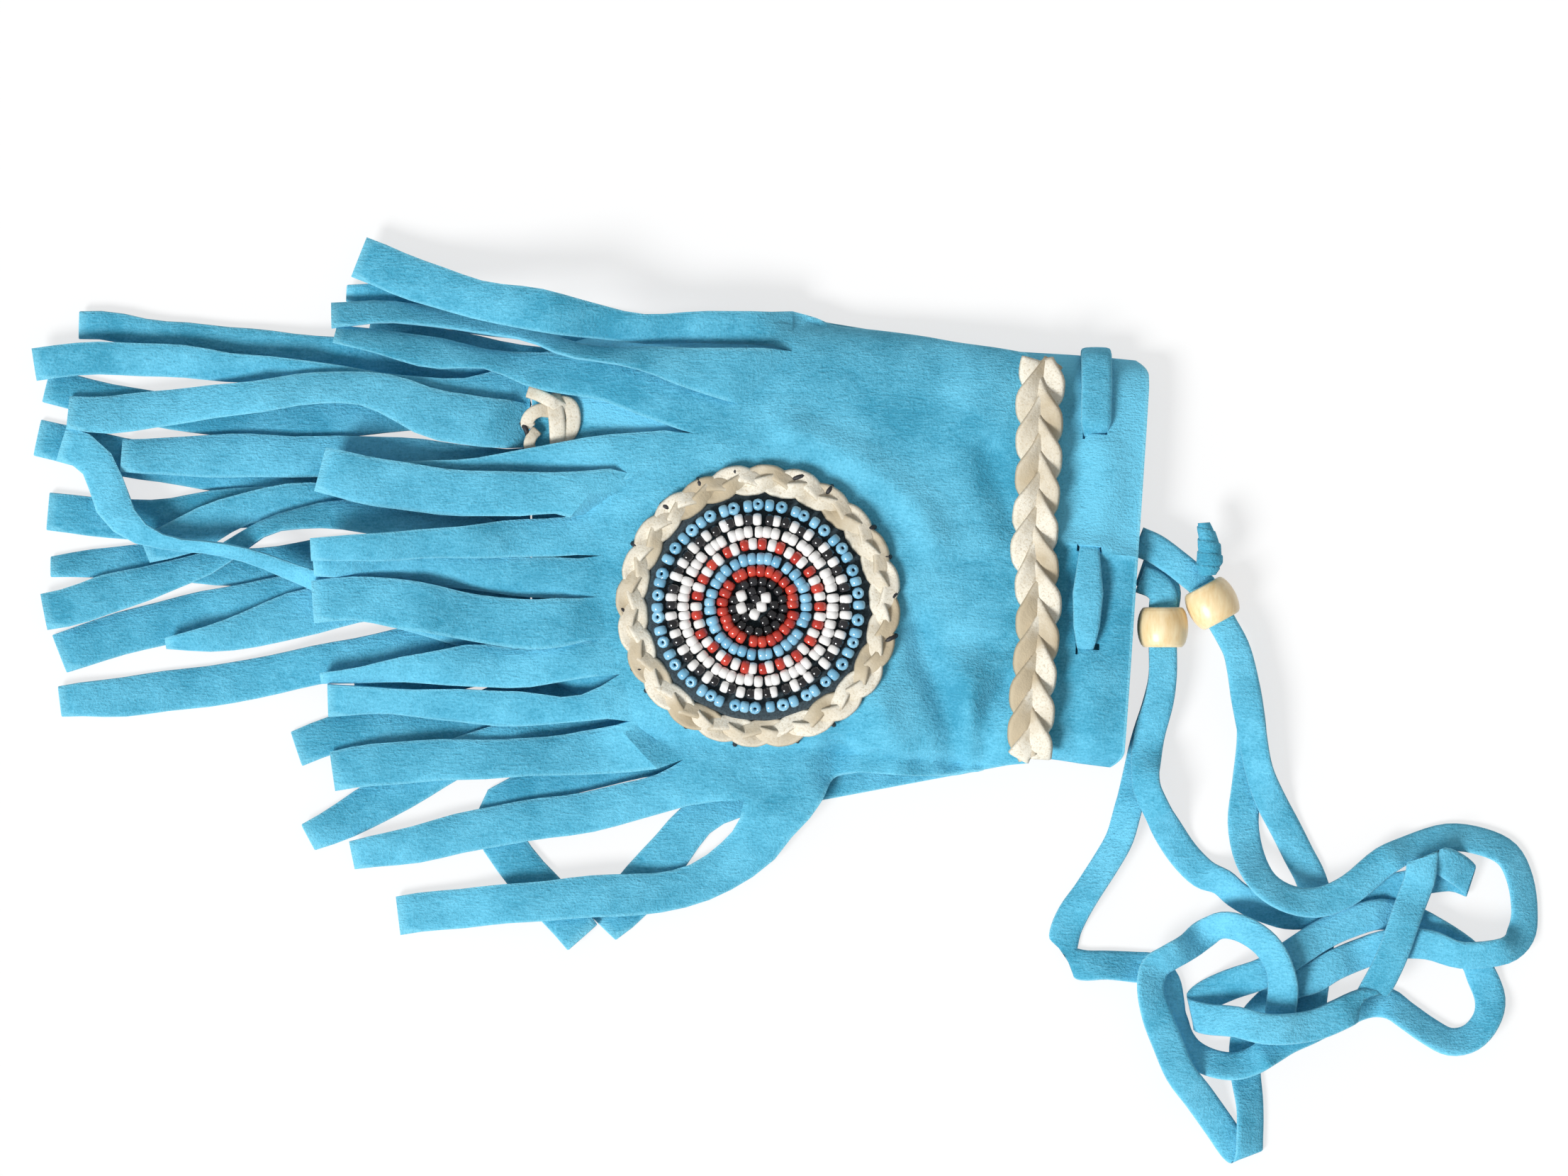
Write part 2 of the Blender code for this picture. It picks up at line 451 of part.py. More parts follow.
def clear_of_pouch(x, y, reach):
    """Least underside of a strip centred here that clears the pouch across its width; 0 beside the pouch."""
    sideways, along = np.meshgrid(np.linspace(-reach - 1.0, reach + 1.0, 9), np.linspace(-5.0, 5.0, 5))
    px, py = x + along, y + sideways
    over = (np.abs(py - pouch_centre(px)) < pouch_half_width(px) + 0.5) & (px > POUCH_LEFT - 0.5)
    return float(np.where(over, pouch_top(px, py) + GAP + 0.3, 0.0).max())


def fringe():
    """All three fringed sheets, their strips laid over one another from the table up."""
    groups = (("back", BACK_SLITS, BACK_STRIPS), ("lower", TAIL_SLITS, LOWER_TAIL_STRIPS),
              ("upper", TAIL_SLITS, UPPER_TAIL_STRIPS), ("front", FRONT_SLITS, FRONT_STRIPS))
    named, paths = [], []
    for level, (group, slits, strips) in enumerate(groups):
        for order, (slit, stations) in enumerate(strips.items()):
            path = strip_path(slits, slit, stations, 20 * level + order)
            if group == "front":
                path[:, 4] = [clear_of_pouch(x, y, width / 2) for x, y, width in path[:, :3]]
                path[0, 4] = skirt_top(*path[0, :2]) - SUEDE
            if group == "lower":
                path[0, 4] = POUCH_BASE + 0.3
            if group == "upper":
                path[0, 4] = POUCH_BASE + SUEDE + 0.75
            named.append((group, slit))
            paths.append(path)
    heights = settle(paths, [group for group, _ in named], STRIP_SLOPE, 1.0)

    def chosen(group):
        found = [k for k, (name, _) in enumerate(named) if name == group]
        return [(named[k][1], paths[k]) for k in found], [heights[k] for k in found]

    front_skirt(*chosen("front"))
    flat_panel_fringe("back_skirt", BACK_SLITS, 1450, (502, 1074), 0.0, *chosen("back"))
    flat_panel_fringe("tail_fringe_lower", TAIL_SLITS, 748.5, (506, 944), POUCH_BASE + 0.3, *chosen("lower"), columns=2)
    flat_panel_fringe("tail_fringe_upper", TAIL_SLITS, 748.5, (506, 944), POUCH_BASE + SUEDE + 0.75,
                      *chosen("upper"), columns=2)


def lace_path(points):
    """A free lace's stations, with its width drawn in where it passes the bead."""
    stations = np.array([(x, y, LACE_WIDTH, rank, floor) for x, y, rank, floor in points], float)
    for bead in (BEAD_1, BEAD_2):
        away = np.hypot(stations[:, 0] - bead[0], stations[:, 1] - bead[1])
        share = np.clip((away - 13.0) / 10.0, 0.0, 1.0)
        width = LACE_WIDTH_IN_BEAD + (LACE_WIDTH - LACE_WIDTH_IN_BEAD) * share
        stations[:, 2] = np.minimum(stations[:, 2], width)
    return stations


def laces():
    """The two free laces, each a loop that leaves the mouth, passes its bead and comes back."""
    paths = [lace_path(LACE_A), lace_path(LACE_B)]
    for name, path, low in zip(("lace_loop_2", "lace_loop_1"), paths, settle(paths, (2, 1), LACE_SLOPE, 0.1)):
        ribbon(name, *sides(path), low, "lace")


def drawstring():
    """Lace woven through the cuff: over the top edge from behind, in and out of three slits."""
    x = DRAWSTRING_X
    run = [(-21.0, -2.35), (-16.6, -2.35), (-11.2, 0.4), (-7.0, 0.6), (0.0, 0.6), (6.4, 0.6), (9.2, 0.4),
           (13.0, -2.35), (20.0, -2.35), (28.0, -2.35), (34.8, -2.35), (38.6, 0.4), (42.0, 0.6), (48.0, 0.7)]
    line = [(y, float(pouch_top(x, y)) + lift + SUEDE / 2 - (SUEDE if lift < 0 else 0.0)) for y, lift in run]
    edge = float(pouch_centre(x) + pouch_half_width(x))
    top = POUCH_BASE + SEAM_HEIGHT
    line += [(edge - 1.2, top + 4.4), (edge + 0.7, top + 2.2), (edge + 1.25, top), (edge + 1.25, 2.6),
             (edge + 0.5, 1.0), (edge - 1.0, SUEDE / 2), (edge - 5.0, SUEDE / 2), (edge - 14.0, SUEDE / 2)]
    line = np.array(line)
    direction = np.gradient(line, axis=0)
    direction /= np.hypot(*direction.T)[:, None]
    normal = np.column_stack([-direction[:, 1], direction[:, 0]]) * SUEDE / 2
    points, faces = [], []
    for middle, offset in zip(line, normal):
        for side, way in ((-1, -1), (1, -1), (1, 1), (-1, 1)):
            y, z = middle + way * offset
            points.append((x + side * 7.0 / 2, y, z))
    last = len(line) - 1
    faces = [(4 * k + a, 4 * k + (a + 1) % 4, 4 * k + 4 + (a + 1) % 4, 4 * k + 4 + a)
             for k in range(last) for a in range(4)]
    faces += [(3, 2, 1, 0), tuple(4 * last + a for a in range(4))]
    return add_mesh("drawstring", points, faces, "lace")


def lumpy_ring(name, centre, radius, count, lump, section, lift, finish, groove=0.62, corners=4, scallop=0.0):
    """A ring of threaded lumps: a torus whose section swells once for each lump.

    lump is the section's half width and section its half height; scallop moves each lump in and out.
    """
    turns = 2 * count
    angle = np.arange(turns) * 2 * math.pi / turns
    swell = np.where(np.arange(turns) % 2 == 0, 1.0, groove)
    around = (np.arange(corners) + 0.5) * 2 * math.pi / corners
    radial = radius + scallop * (swell - 1)
    r = radial[:, None] + lump * swell[:, None] * np.cos(around)[None, :] / math.cos(math.pi / corners)
    x = centre[0] + r * np.cos(angle)[:, None]
    y = centre[1] + r * np.sin(angle)[:, None]
    base = skirt_top(centre[0] + radial * np.cos(angle), centre[1] + radial * np.sin(angle))
    z = base[:, None] + lift + section * swell[:, None] * np.sin(around)[None, :] / math.cos(math.pi / corners)
    points = np.dstack([x, y, z]).reshape(-1, 3)
    faces = [(corners * k + a, corners * k + (a + 1) % corners, corners * ((k + 1) % turns) + (a + 1) % corners,
              corners * ((k + 1) % turns) + a) for k in range(turns) for a in range(corners)]
    return add_mesh(name, points, faces, finish, smooth=True)


def rosette():
    """Dark backing disc, centre cluster, rings of seed beads and the tan braid round them."""
    sectors, rings = 30, 3
    points, faces = [], []
    for lift in (GAP + BACKING_THICKNESS, GAP):
        points.append((*ROSETTE, float(skirt_top(*ROSETTE)) + lift))
        for ring in range(1, rings + 1):
            angle = np.arange(sectors) * 2 * math.pi / sectors
            x = ROSETTE[0] + BACKING_RADIUS * ring / rings * np.cos(angle)
            y = ROSETTE[1] + BACKING_RADIUS * ring / rings * np.sin(angle)
            points.extend(np.column_stack([x, y, skirt_top(x, y) + lift]))
    layer = 1 + sectors * rings
    for base in (0, layer):
        for k in range(sectors):
            after = (k + 1) % sectors
            faces.append((base, base + 1 + k, base + 1 + after))
            faces.extend((base + 1 + sectors * (ring - 1) + k, base + 1 + sectors * ring + k,
                          base + 1 + sectors * ring + after, base + 1 + sectors * (ring - 1) + after)
                         for ring in range(1, rings))
    rim = 1 + sectors * (rings - 1)
    faces.extend((rim + k, rim + (k + 1) % sectors, layer + rim + (k + 1) % sectors, layer + rim + k)
                 for k in range(sectors))
    add_mesh("rosette_backing", points, faces, "black")
    lift = 2 * GAP + BACKING_THICKNESS + SEED_RADIUS + 0.1
    lumpy_ring("bead_cluster_centre", ROSETTE, 2.7, 7, SEED_RADIUS, SEED_RADIUS, lift, "white")
    finishes = ("black", "red", "blue", "red", "white", "black", "blue")
    for number, finish in enumerate(finishes):
        radius = FIRST_RING + RING_PITCH * number
        count = 2 * round(math.pi * radius / (EDGE_PITCH if number == len(finishes) - 1 else SEED_PITCH))
        lumpy_ring(f"bead_ring_{number + 1}", ROSETTE, radius, count, SEED_RADIUS, SEED_RADIUS, lift, finish)
    lumpy_ring("rosette_braid", ROSETTE, BRAID_RADIUS, 32, BRAID_WIDTH / 2, BRAID_HEIGHT / 2,
               GAP + BRAID_HEIGHT / 2 + 0.5, "tan", groove=0.72, corners=5)


def mouth_braid():
    """Tan lace braid across the front at the top of the skirt: leaf lobes 8 mm apart in two columns."""
    line = np.array([(1470, 512), (1466, 560), (1466, 640), (1463, 700), (1459, 760), (1463, 830), (1462, 900),
                     (1456, 960), (1453, 1010), (1450, 1066)], float)
    middle = resample([from_drawing(x, y) for x, y in line], 4.0)
    swell = np.where(np.arange(len(middle)) % 2 == 0, 1.0, 0.8)
    corners = 6
    around = (np.arange(corners) + 0.5) * 2 * math.pi / corners
    half, high = 5.0, 1.25
    points = []
    for (x, y), s in zip(middle, swell):
        for a in around:
            px = x + half * s * math.cos(a)
            points.append((px, y, float(skirt_top(x, y)) + GAP + high + 0.35 + high * s * math.sin(a)))
    last = len(middle) - 1
    faces = [(corners * k + a, corners * k + (a + 1) % corners, corners * k + corners + (a + 1) % corners,
              corners * k + corners + a) for k in range(last) for a in range(corners)]
    faces += [tuple(range(corners))[::-1], tuple(corners * last + a for a in range(corners))]
    return add_mesh("mouth_braid", points, faces, "tan", smooth=True)


def bottom_lacing():
    """Tan lace knotted over the seam that holds the long fringe to the pouch."""
    x, y = from_drawing(778, 592)
    z = float(pouch_top(x, y)) + GAP + 0.5
    return flattened_knot("bottom_lacing", (x, y, z + 1.3), 5.6, 4.0, 1.3, "tan")


def flattened_knot(name, middle, half_x, half_y, half_z, finish):
    """A flattened knot: a sphere of rings squeezed to three half sizes."""
    rows, turns = 6, 12
    polar = np.linspace(0, math.pi, rows + 1)[1:-1]
    angle = np.arange(turns) * 2 * math.pi / turns
    points = [(middle[0], middle[1], middle[2] + half_z)]
    for p in polar:
        points.extend((middle[0] + half_x * math.sin(p) * math.cos(a), middle[1] + half_y * math.sin(p) * math.sin(a),
                       middle[2] + half_z * math.cos(p)) for a in angle)
    points.append((middle[0], middle[1], middle[2] - half_z))
    faces = [(0, 1 + k, 1 + (k + 1) % turns) for k in range(turns)]
    for row in range(len(polar) - 1):
        a, b = 1 + turns * row, 1 + turns * (row + 1)
        faces.extend((a + k, b + k, b + (k + 1) % turns, a + (k + 1) % turns) for k in range(turns))
    a = 1 + turns * (len(polar) - 1)
    faces.extend((a + k, len(points) - 1, a + (k + 1) % turns) for k in range(turns))
    return add_mesh(name, points, faces, finish, smooth=True)


def turned(name, profile, middle, axis, finish, turns=20):
    """A body turned about a level axis: profile is a closed loop of distance along and radius."""
    side = np.array([-axis[1], axis[0], 0.0])
    along = np.array([axis[0], axis[1], 0.0])
    up = np.array([0.0, 0.0, 1.0])
    points = []
    for k in range(turns):
        a = 2 * math.pi * k / turns
        spoke = side * math.cos(a) + up * math.sin(a)
        points.extend(np.array(middle) + along * t + spoke * r for t, r in profile)
    n = len(profile)
    faces = [(n * k + a, n * k + (a + 1) % n, n * ((k + 1) % turns) + (a + 1) % n, n * ((k + 1) % turns) + a)
             for k in range(turns) for a in range(n)]
    return add_mesh(name, points, faces, finish, smooth=True)


def wood_beads():
    """Two turned barrels, each bored through for a doubled lace."""
    half = BEAD_LENGTH / 2
    bulge = BEAD_RADIUS - BEAD_RIM_RADIUS
    outer = [(t * half, BEAD_RIM_RADIUS + bulge * math.sqrt(max(0.0, 1 - abs(t) ** 2.4)))
             for t in (-1, -0.93, -0.75, -0.45, 0, 0.45, 0.75, 0.93, 1)]
    profile = outer + [(half, BEAD_BORE), (-half, BEAD_BORE)]
    for name, place, axis in (("wood_bead_1", BEAD_1, BEAD_1_AXIS), ("wood_bead_2", BEAD_2, BEAD_2_AXIS)):
        unit = np.array(axis) / math.hypot(*axis)
        turned(name, profile, (*place, BEAD_HEIGHT), unit, "wood")


def rolled_end():
    """The lace's end rolled up into a tapered stop at the far side of the second bead."""
    profile = [(0.0, 1.9), (3.0, 2.5), (7.0, 2.7), (10.0, 2.3), (ROLLED_LENGTH, 1.7)]
    start = np.array((*from_drawing(1701, 812), BEAD_HEIGHT + 3.4))
    level = np.array((*from_drawing(1696, 742), start[2])) - start
    level /= np.linalg.norm(level)
    slant = level - np.array([0.0, 0.0, 0.1])
    side = np.array([-level[1], level[0], 0.0])
    up = np.array([0.0, 0.0, 1.0])
    turns = 14
    points = [start]
    for t, r in profile:
        for a in np.arange(turns) * 2 * math.pi / turns:
            points.append(start + slant * t + (side * math.cos(a) + up * math.sin(a)) * r)
    points.append(start + slant * ROLLED_LENGTH)
    faces = [(0, 1 + k, 1 + (k + 1) % turns) for k in range(turns)]
    for row in range(len(profile) - 1):
        a, b = 1 + turns * row, 1 + turns * (row + 1)
        faces.extend((a + k, b + k, b + (k + 1) % turns, a + (k + 1) % turns) for k in range(turns))
    rim = 1 + turns * (len(profile) - 1)
    faces.extend((rim + k, len(points) - 1, rim + (k + 1) % turns) for k in range(turns))
    return add_mesh("rolled_lace_end", points, faces, "lace", smooth=True)


clear_scene()
inner_pouch()
fringe()
drawstring()
laces()
rosette()
mouth_braid()
bottom_lacing()
wood_beads()
rolled_end()
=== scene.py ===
"""Looks of a fringed suede drawstring pouch with a beaded rosette, lying on its back.

Shapes are worked out in millimetres and written in metres. Places traced in the top view are in
drawing units, 6 to the millimetre, with y running down the drawing.
"""

import math

import bmesh
import bpy
import numpy as np
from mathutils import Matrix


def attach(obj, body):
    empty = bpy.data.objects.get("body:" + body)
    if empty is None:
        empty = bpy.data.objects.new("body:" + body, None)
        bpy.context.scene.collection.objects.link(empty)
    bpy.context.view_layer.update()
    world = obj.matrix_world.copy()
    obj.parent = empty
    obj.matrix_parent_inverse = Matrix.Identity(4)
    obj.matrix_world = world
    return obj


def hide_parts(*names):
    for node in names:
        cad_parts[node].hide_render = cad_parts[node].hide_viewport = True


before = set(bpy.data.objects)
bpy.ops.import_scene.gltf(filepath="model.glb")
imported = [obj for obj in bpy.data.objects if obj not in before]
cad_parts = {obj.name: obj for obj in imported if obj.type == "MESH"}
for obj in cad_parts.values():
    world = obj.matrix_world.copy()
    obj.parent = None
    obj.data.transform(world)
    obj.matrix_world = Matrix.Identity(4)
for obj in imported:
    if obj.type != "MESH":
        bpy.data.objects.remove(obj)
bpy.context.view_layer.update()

MM = 0.001
UNITS_PER_MM = 6.0
DRAWING_CENTRE = (835.5, 836.0)
DRAWING_SIZE = (2212, 1659)
CAMERA_HEIGHT = 2.4  # metres
SENSOR_WIDTH = 36.0
WORLD_LEVEL = 0.40
KEY_LEVEL, KEY_TURN, KEY_TILT, KEY_SPREAD = 3.35, -138.0, 46.0, 22.0  # W/m2, then degrees
FLOOR_REACH, FLOOR_DEPTH = 3.0, 0.0002  # metres

# Sizes of the object in millimetres and places on it in millimetres from the origin, as in the solids
SUEDE = 1.3
GAP = 0.35
POUCH_LEFT, POUCH_RIGHT = -14.0, 130.6
POUCH_BASE = SUEDE + GAP
SEAM_HEIGHT = 3.0
CROWN = 7.6
SKIRT_OVERHANG = 3.0
BEAD_1, BEAD_2 = (133.9, -8.1), (145.5, -2.5)
BEAD_1_AXIS, BEAD_2_AXIS = (0.0, -1.0), (0.48, -0.877)
BEAD_HEIGHT = 6.2
BEAD_RADIUS, BEAD_RIM_RADIUS, BEAD_BORE, BEAD_LENGTH = 6.0, 4.5, 3.95, 9.4
ROSETTE = (39.1, -3.2)
BACKING_RADIUS, BACKING_THICKNESS = 26.6, 1.2
UP = np.array([0.0, 0.0, 1.0])

# The drawstring's slits in the cuff, by their middles
CUFF_SLITS = ((118.0, 37.5), (116.6, 10.8), (115.9, -12.9))
SLIT_LENGTH, SLIT_WIDTH = 5.6, 1.7

# Fringe strips: how they are cut and lie, and how much of their lean shows as one edge standing up
STRIP_WIDTH = 9.4  # as cut
STRIP_SLOPE = 0.5  # steepest climb
STRIP_STEP = 5.0  # between stations
STRIP_ROWS = 6  # faces across a strip
PANEL_COLUMNS = 64  # points along the front panel
LEAN_LIMIT = 3.2  # most that one edge stands above the other
LEAN_SHARES = {"back_skirt": 0.3, "tail_fringe_lower": 0.25, "tail_fringe_upper": 0.35, "front_skirt": 0.6}
# Undersides of the tail's two layers where they leave the bag
TAIL_BASE = {"tail_fringe_lower": POUCH_BASE + 0.3, "tail_fringe_upper": POUCH_BASE + SUEDE + 0.75}

# Laces
LACE_WIDTH, LACE_WIDTH_IN_BEAD = 7.3, 6.6
LACE_SLOPE = 0.8  # steepest climb
LACE_SPAN = 4  # stations between two traced points
LACE_RISE = 3.4  # most that one edge stands above the other
LACE_TILT = {"lace_loop_1": 1.0, "lace_loop_2": -1.0}  # which edge that is
LACE_LENGTHS = (0.496, 0.546)  # of A and B in metres, as in the solids
BAND_TOP, BAND_LOW = 9, 7  # points over and under the section

# Settling of strips and laces over one another
NEAR_STATIONS = 14  # stations of one strip this near never cross
SHEET_OVERLAP = 0.25  # let be between strips of one sheet
SETTLING_PASSES = 80

# Ends of the slits between the front strips, from the top of the drawing to the bottom
FRONT_SLITS = ((1118, 440), (1118, 497), (1044, 571), (979, 613), (903, 672), (824, 727), (849, 784),
               (845, 842), (852, 900), (875, 951), (890, 1017), (966, 1070), (1050, 1128), (1142, 1154))
# Each strip: centre x, y and width, from its slit ends to its tip; the first strips lie lowest
FRONT_STRIPS = {
    12: ((1060, 1196, 70), (1000, 1236, 58), (940, 1258, 56), (870, 1263, 60), (750, 1270, 56),
         (640, 1283, 56), (562, 1292, 55)),
    11: ((960, 1112, 56), (860, 1138, 57), (730, 1160, 58), (600, 1187, 54), (497, 1206, 40)),
    9: ((811, 998, 36), (732, 1000, 50), (639, 996, 46), (554, 988, 36), (464, 988, 46)),
    10: ((866, 1058, 68), (760, 1068, 54), (640, 1070, 58), (545, 1078, 60), (470, 1088, 56)),
    8: ((820, 932, 52), (740, 940, 56), (668, 938, 60), (607, 943, 45), (514, 951, 24), (454, 956, 16)),
    6: ((790, 815, 58), (700, 812, 52), (610, 804, 42), (530, 800, 32), (446, 803, 24)),
    7: ((800, 877, 68), (740, 882, 70), (660, 868, 66), (575, 852, 70), (505, 846, 62), (444, 849, 60)),
    5: ((790, 757, 54), (716, 760, 52), (624, 768, 42), (540, 772, 40), (443, 774, 32)),
    3: ((880, 642, 60), (793, 650, 50), (720, 662, 48), (640, 672, 46), (560, 676, 44)),
    4: ((800, 697, 60), (751, 697, 62), (681, 696, 64), (603, 692, 66), (531, 681, 68), (454, 662, 64)),
    2: ((930, 562, 62), (846, 534, 64), (760, 524, 52), (690, 506, 28), (616, 500, 45), (545, 486, 36),
        (475, 471, 26)),
    1: ((986, 521, 62), (925, 508, 40), (867, 504, 24), (800, 493, 22), (737, 467, 22), (650, 453, 25),
        (560, 442, 30), (469, 444, 36)),
    0: ((1016, 464, 46), (891, 463, 42), (770, 443, 60), (680, 424, 55), (590, 397, 60), (507, 365, 60)),
}
BACK_SLITS = ((1112, 446), (1100, 520), (1090, 600), (1080, 760), (1075, 880), (1070, 960), (1075, 1020),
              (1085, 1080), (1100, 1140))
BACK_STRIPS = {
    0: ((1000, 480, 60), (880, 470, 60), (760, 455, 60), (640, 438, 54), (560, 424, 46), (489, 416, 24)),
    4: ((950, 932, 54), (840, 950, 54), (745, 975, 54), (660, 1010, 54), (600, 1028, 54), (500, 1030, 54),
        (418, 1055, 52)),
    5: ((950, 992, 54), (840, 1010, 54), (745, 1035, 54), (660, 1062, 56), (600, 1095, 60),
        (520, 1138, 60), (435, 1181, 42)),
    7: ((1000, 1145, 54), (940, 1205, 62), (890, 1265, 66), (850, 1308, 54)),
    6: ((960, 1064, 54), (840, 1085, 54), (750, 1112, 56), (700, 1150, 62), (725, 1210, 60),
        (775, 1268, 62), (822, 1322, 56)),
    1: ((950, 545, 56), (850, 532, 56), (760, 516, 54), (680, 500, 52), (600, 485, 52), (520, 470, 50)),
    3: ((950, 860, 56), (840, 890, 54), (745, 918, 54), (660, 945, 54), (600, 955, 50), (500, 962, 42)),
}
TAIL_SLITS = [(745, y) for y in range(508, 943, 62)]
LOWER_TAIL_STRIPS = {
    0: ((650, 515, 54), (560, 506, 48), (430, 495, 44), (341, 487, 50), (280, 481, 52), (221, 475, 46),
        (163, 463, 42), (112, 460, 40)),
    1: ((640, 575, 54), (500, 590, 54), (340, 592, 52), (200, 575, 50), (120, 556, 50), (66, 543, 50)),
    2: ((620, 660, 56), (480, 668, 56), (340, 670, 56), (200, 648, 56), (53, 618, 53)),
    3: ((620, 715, 56), (480, 716, 58), (340, 717, 58), (200, 733, 58), (68, 723, 54)),
    4: ((620, 775, 56), (480, 785, 56), (360, 800, 54), (226, 792, 50), (150, 795, 44), (72, 798, 30)),
    5: ((620, 835, 56), (480, 838, 60), (400, 842, 62), (300, 864, 64), (200, 887, 62), (130, 905, 60),
        (84, 922, 58)),
    6: ((640, 905, 56), (520, 925, 58), (423, 942, 56), (339, 963, 58), (250, 973, 58), (170, 982, 56),
        (85, 991, 44)),
}
UPPER_TAIL_STRIPS = {
    0: ((650, 560, 50), (540, 545, 40), (430, 530, 40), (340, 520, 40), (260, 510, 46), (110, 508, 46),
        (50, 514, 46)),
    2: ((640, 655, 60), (540, 647, 60), (430, 643, 58), (323, 644, 62), (247, 645, 54), (173, 641, 46)),
    3: ((620, 715, 56), (500, 712, 56), (430, 708, 54), (349, 718, 44), (285, 745, 56), (206, 775, 40)),
    4: ((640, 745, 56), (500, 728, 44), (400, 736, 24), (353, 757, 24), (290, 795, 34), (221, 820, 46),
        (156, 838, 56), (114, 851, 55), (63, 862, 52)),
    5: ((620, 835, 60), (500, 850, 62), (423, 866, 66), (367, 882, 56), (300, 902, 38), (235, 908, 16)),
    1: ((739, 600, 66), (690, 597, 70), (620, 585, 70), (560, 562, 60), (503, 549, 46), (430, 551, 45),
        (336, 563, 46), (250, 575, 50), (168, 585, 54), (98, 581, 46)),
    6: ((640, 880, 56), (540, 860, 40), (430, 812, 26), (316, 777, 18), (245, 768, 18), (196, 748, 34),
        (163, 714, 52), (146, 672, 50), (128, 642, 50), (88, 627, 52)),
}

# Free laces in stretches: the rank of each where laces cross (higher lies on top), then its points in
# millimetres, x, y and, off the table, the least height of the lace's underside
LACE_A = (
    (1, ((128, 12, 6.2), (132, 10.3, 5.6), (136, 7.6, 4.9), (139.8, 4.6, 4.7), (143.25, 1.6, 4.7),
         (145.45, -2.5, 4.7), (147.7, -6.7, 4.7), (150.8, -12.6, 4.7), (153, -19, 2), (154.5, -27.5),
         (155, -35.5), (154, -45))),
    (2.5, ((153, -54),)),
    (5, ((154.5, -62.5), (158, -68.5), (164, -72), (171, -72.5), (178, -69.5), (186, -63), (192.5, -60),
         (201, -57.5), (209, -58.5), (215, -61.5), (218, -67.5), (219, -75), (218, -80.5), (214, -84),
         (204, -85), (196, -82.5), (187.5, -82.5), (180, -85))),
    (2, ((174, -87.5), (169, -90.5), (164, -92), (160, -95.5), (155.5, -100.5), (153.5, -105.5))),
    (1, ((153.5, -112.5), (154.5, -120.5), (154.5, -127.5))),
    (2, ((154, -132.5), (151, -130.5))),
    (7, ((147.5, -125.5), (142.5, -118.5), (138, -112.5), (135, -105.5), (132.5, -99))),
    (6, ((131, -93), (132, -88), (135.5, -85.5), (140, -83), (144, -80), (148, -78), (153, -79),
         (158, -82.5), (161, -87.5), (162, -93), (161.5, -99))),
    (3, ((163, -104), (168, -101))),
    (1, ((169.5, -93.5), (170.5, -85), (171, -75.5))),
    (3, ((169, -67.5), (166, -61.5), (163, -55.5), (159, -48), (156.5, -41.5), (155, -34), (153.5, -25),
         (152.3, -18, 4.2), (150.8, -12.6, 6.4), (147.5, -6.6, 6.4), (145.2, -2.4, 6.4),
         (143, 1.7, 6.4))),
)
LACE_B = (
    (2, ((128.5, 3.2, 6.5), (132, 1.8, 6.4), (133.9, -0.5, 6.4), (133.9, -3.5, 6.4), (133.9, -8, 6.4),
         (133.9, -12, 6.4), (133.9, -19.5, 6), (133, -25.5, 3.6), (131, -32.5), (130, -39), (130, -45),
         (132, -50), (135, -55.5), (139, -61.5), (143.5, -66), (148, -68), (151.5, -71), (157, -74),
         (163, -75.5), (170, -75), (177.5, -72.5), (186, -70), (194, -68))),
    (3, ((201.5, -67),)),
    (9, ((206.5, -68), (202.5, -64.5), (195.5, -61.5), (194, -67.5), (191, -75.5), (188, -84),
         (184.5, -91.5), (181.5, -95.5))),
    (8, ((176, -98.5), (170, -101), (164, -102), (157.5, -102), (151, -100.5), (144, -100))),
    (4, ((140.5, -98.5), (144, -95), (150, -92), (158, -89), (164, -85), (171, -80.5), (177.5, -77.5),
         (185, -75.5))),
    (2, ((192.5, -77), (199, -80), (206, -85), (209, -90), (211, -95.5), (210, -100.5))),
    (7, ((206.5, -104.5), (201.5, -105.5), (196.5, -103), (191.5, -99.5), (187, -96.5), (181.5, -96.5),
         (174, -99.5), (167.5, -102.5), (163, -104.5), (159, -107), (155.5, -109.5), (151, -111))),
    (6, ((146, -110.5),)),
    (4, ((141.5, -108.5), (138, -105), (136.5, -100.5), (136, -96.5), (135, -91.5), (132, -88.5))),
    (0, ((127.5, -88), (121, -87.5), (115, -87.5), (111, -85.5), (111, -80.5), (113, -75.5), (116.5, -70),
         (121, -63), (124, -57.5), (126, -50.5), (128, -44), (130, -35.5), (132.5, -27, 1.8),
         (133.9, -19.5, 4.3), (133.9, -12, 4.7), (133.9, -8, 4.7), (134.5, -3.3, 4.7), (134.8, 0.6, 4.7),
         (132.4, 3.4, 4.7), (128.5, 4.9, 4.7))),
)

# Points where a free lace is folded over, and, where it stands partly on edge, its width's share seen
LACE_A_TURNS, LACE_B_TURNS = (40, 58), (24, 26, 31, 38, 74)
LACE_A_LEANS = {8: 0.8, 9: 0.85, 14: 0.8, 15: 0.8, 19: 0.6, 20: 0.35, 21: 0.4, 22: 0.45, 23: 0.6,
                24: 0.75, 26: 0.6, 27: 0.7, 38: 0.8, 39: 0.6, 47: 0.7, 49: 0.6, 50: 0.8, 52: 0.5,
                53: 0.45, 54: 0.5, 55: 0.7, 60: 0.8, 67: 0.75, 68: 0.8}
LACE_B_LEANS = {10: 0.5, 11: 0.6, 15: 0.65, 16: 0.6, 17: 0.6, 22: 0.8, 23: 0.7, 47: 0.7, 48: 0.6,
                51: 0.75, 52: 0.5, 53: 0.4, 54: 0.45, 55: 0.6, 62: 0.6, 63: 0.6, 64: 0.6, 65: 0.7,
                68: 0.4, 69: 0.35, 72: 0.8, 77: 0.75, 78: 0.5, 79: 0.5, 80: 0.7}

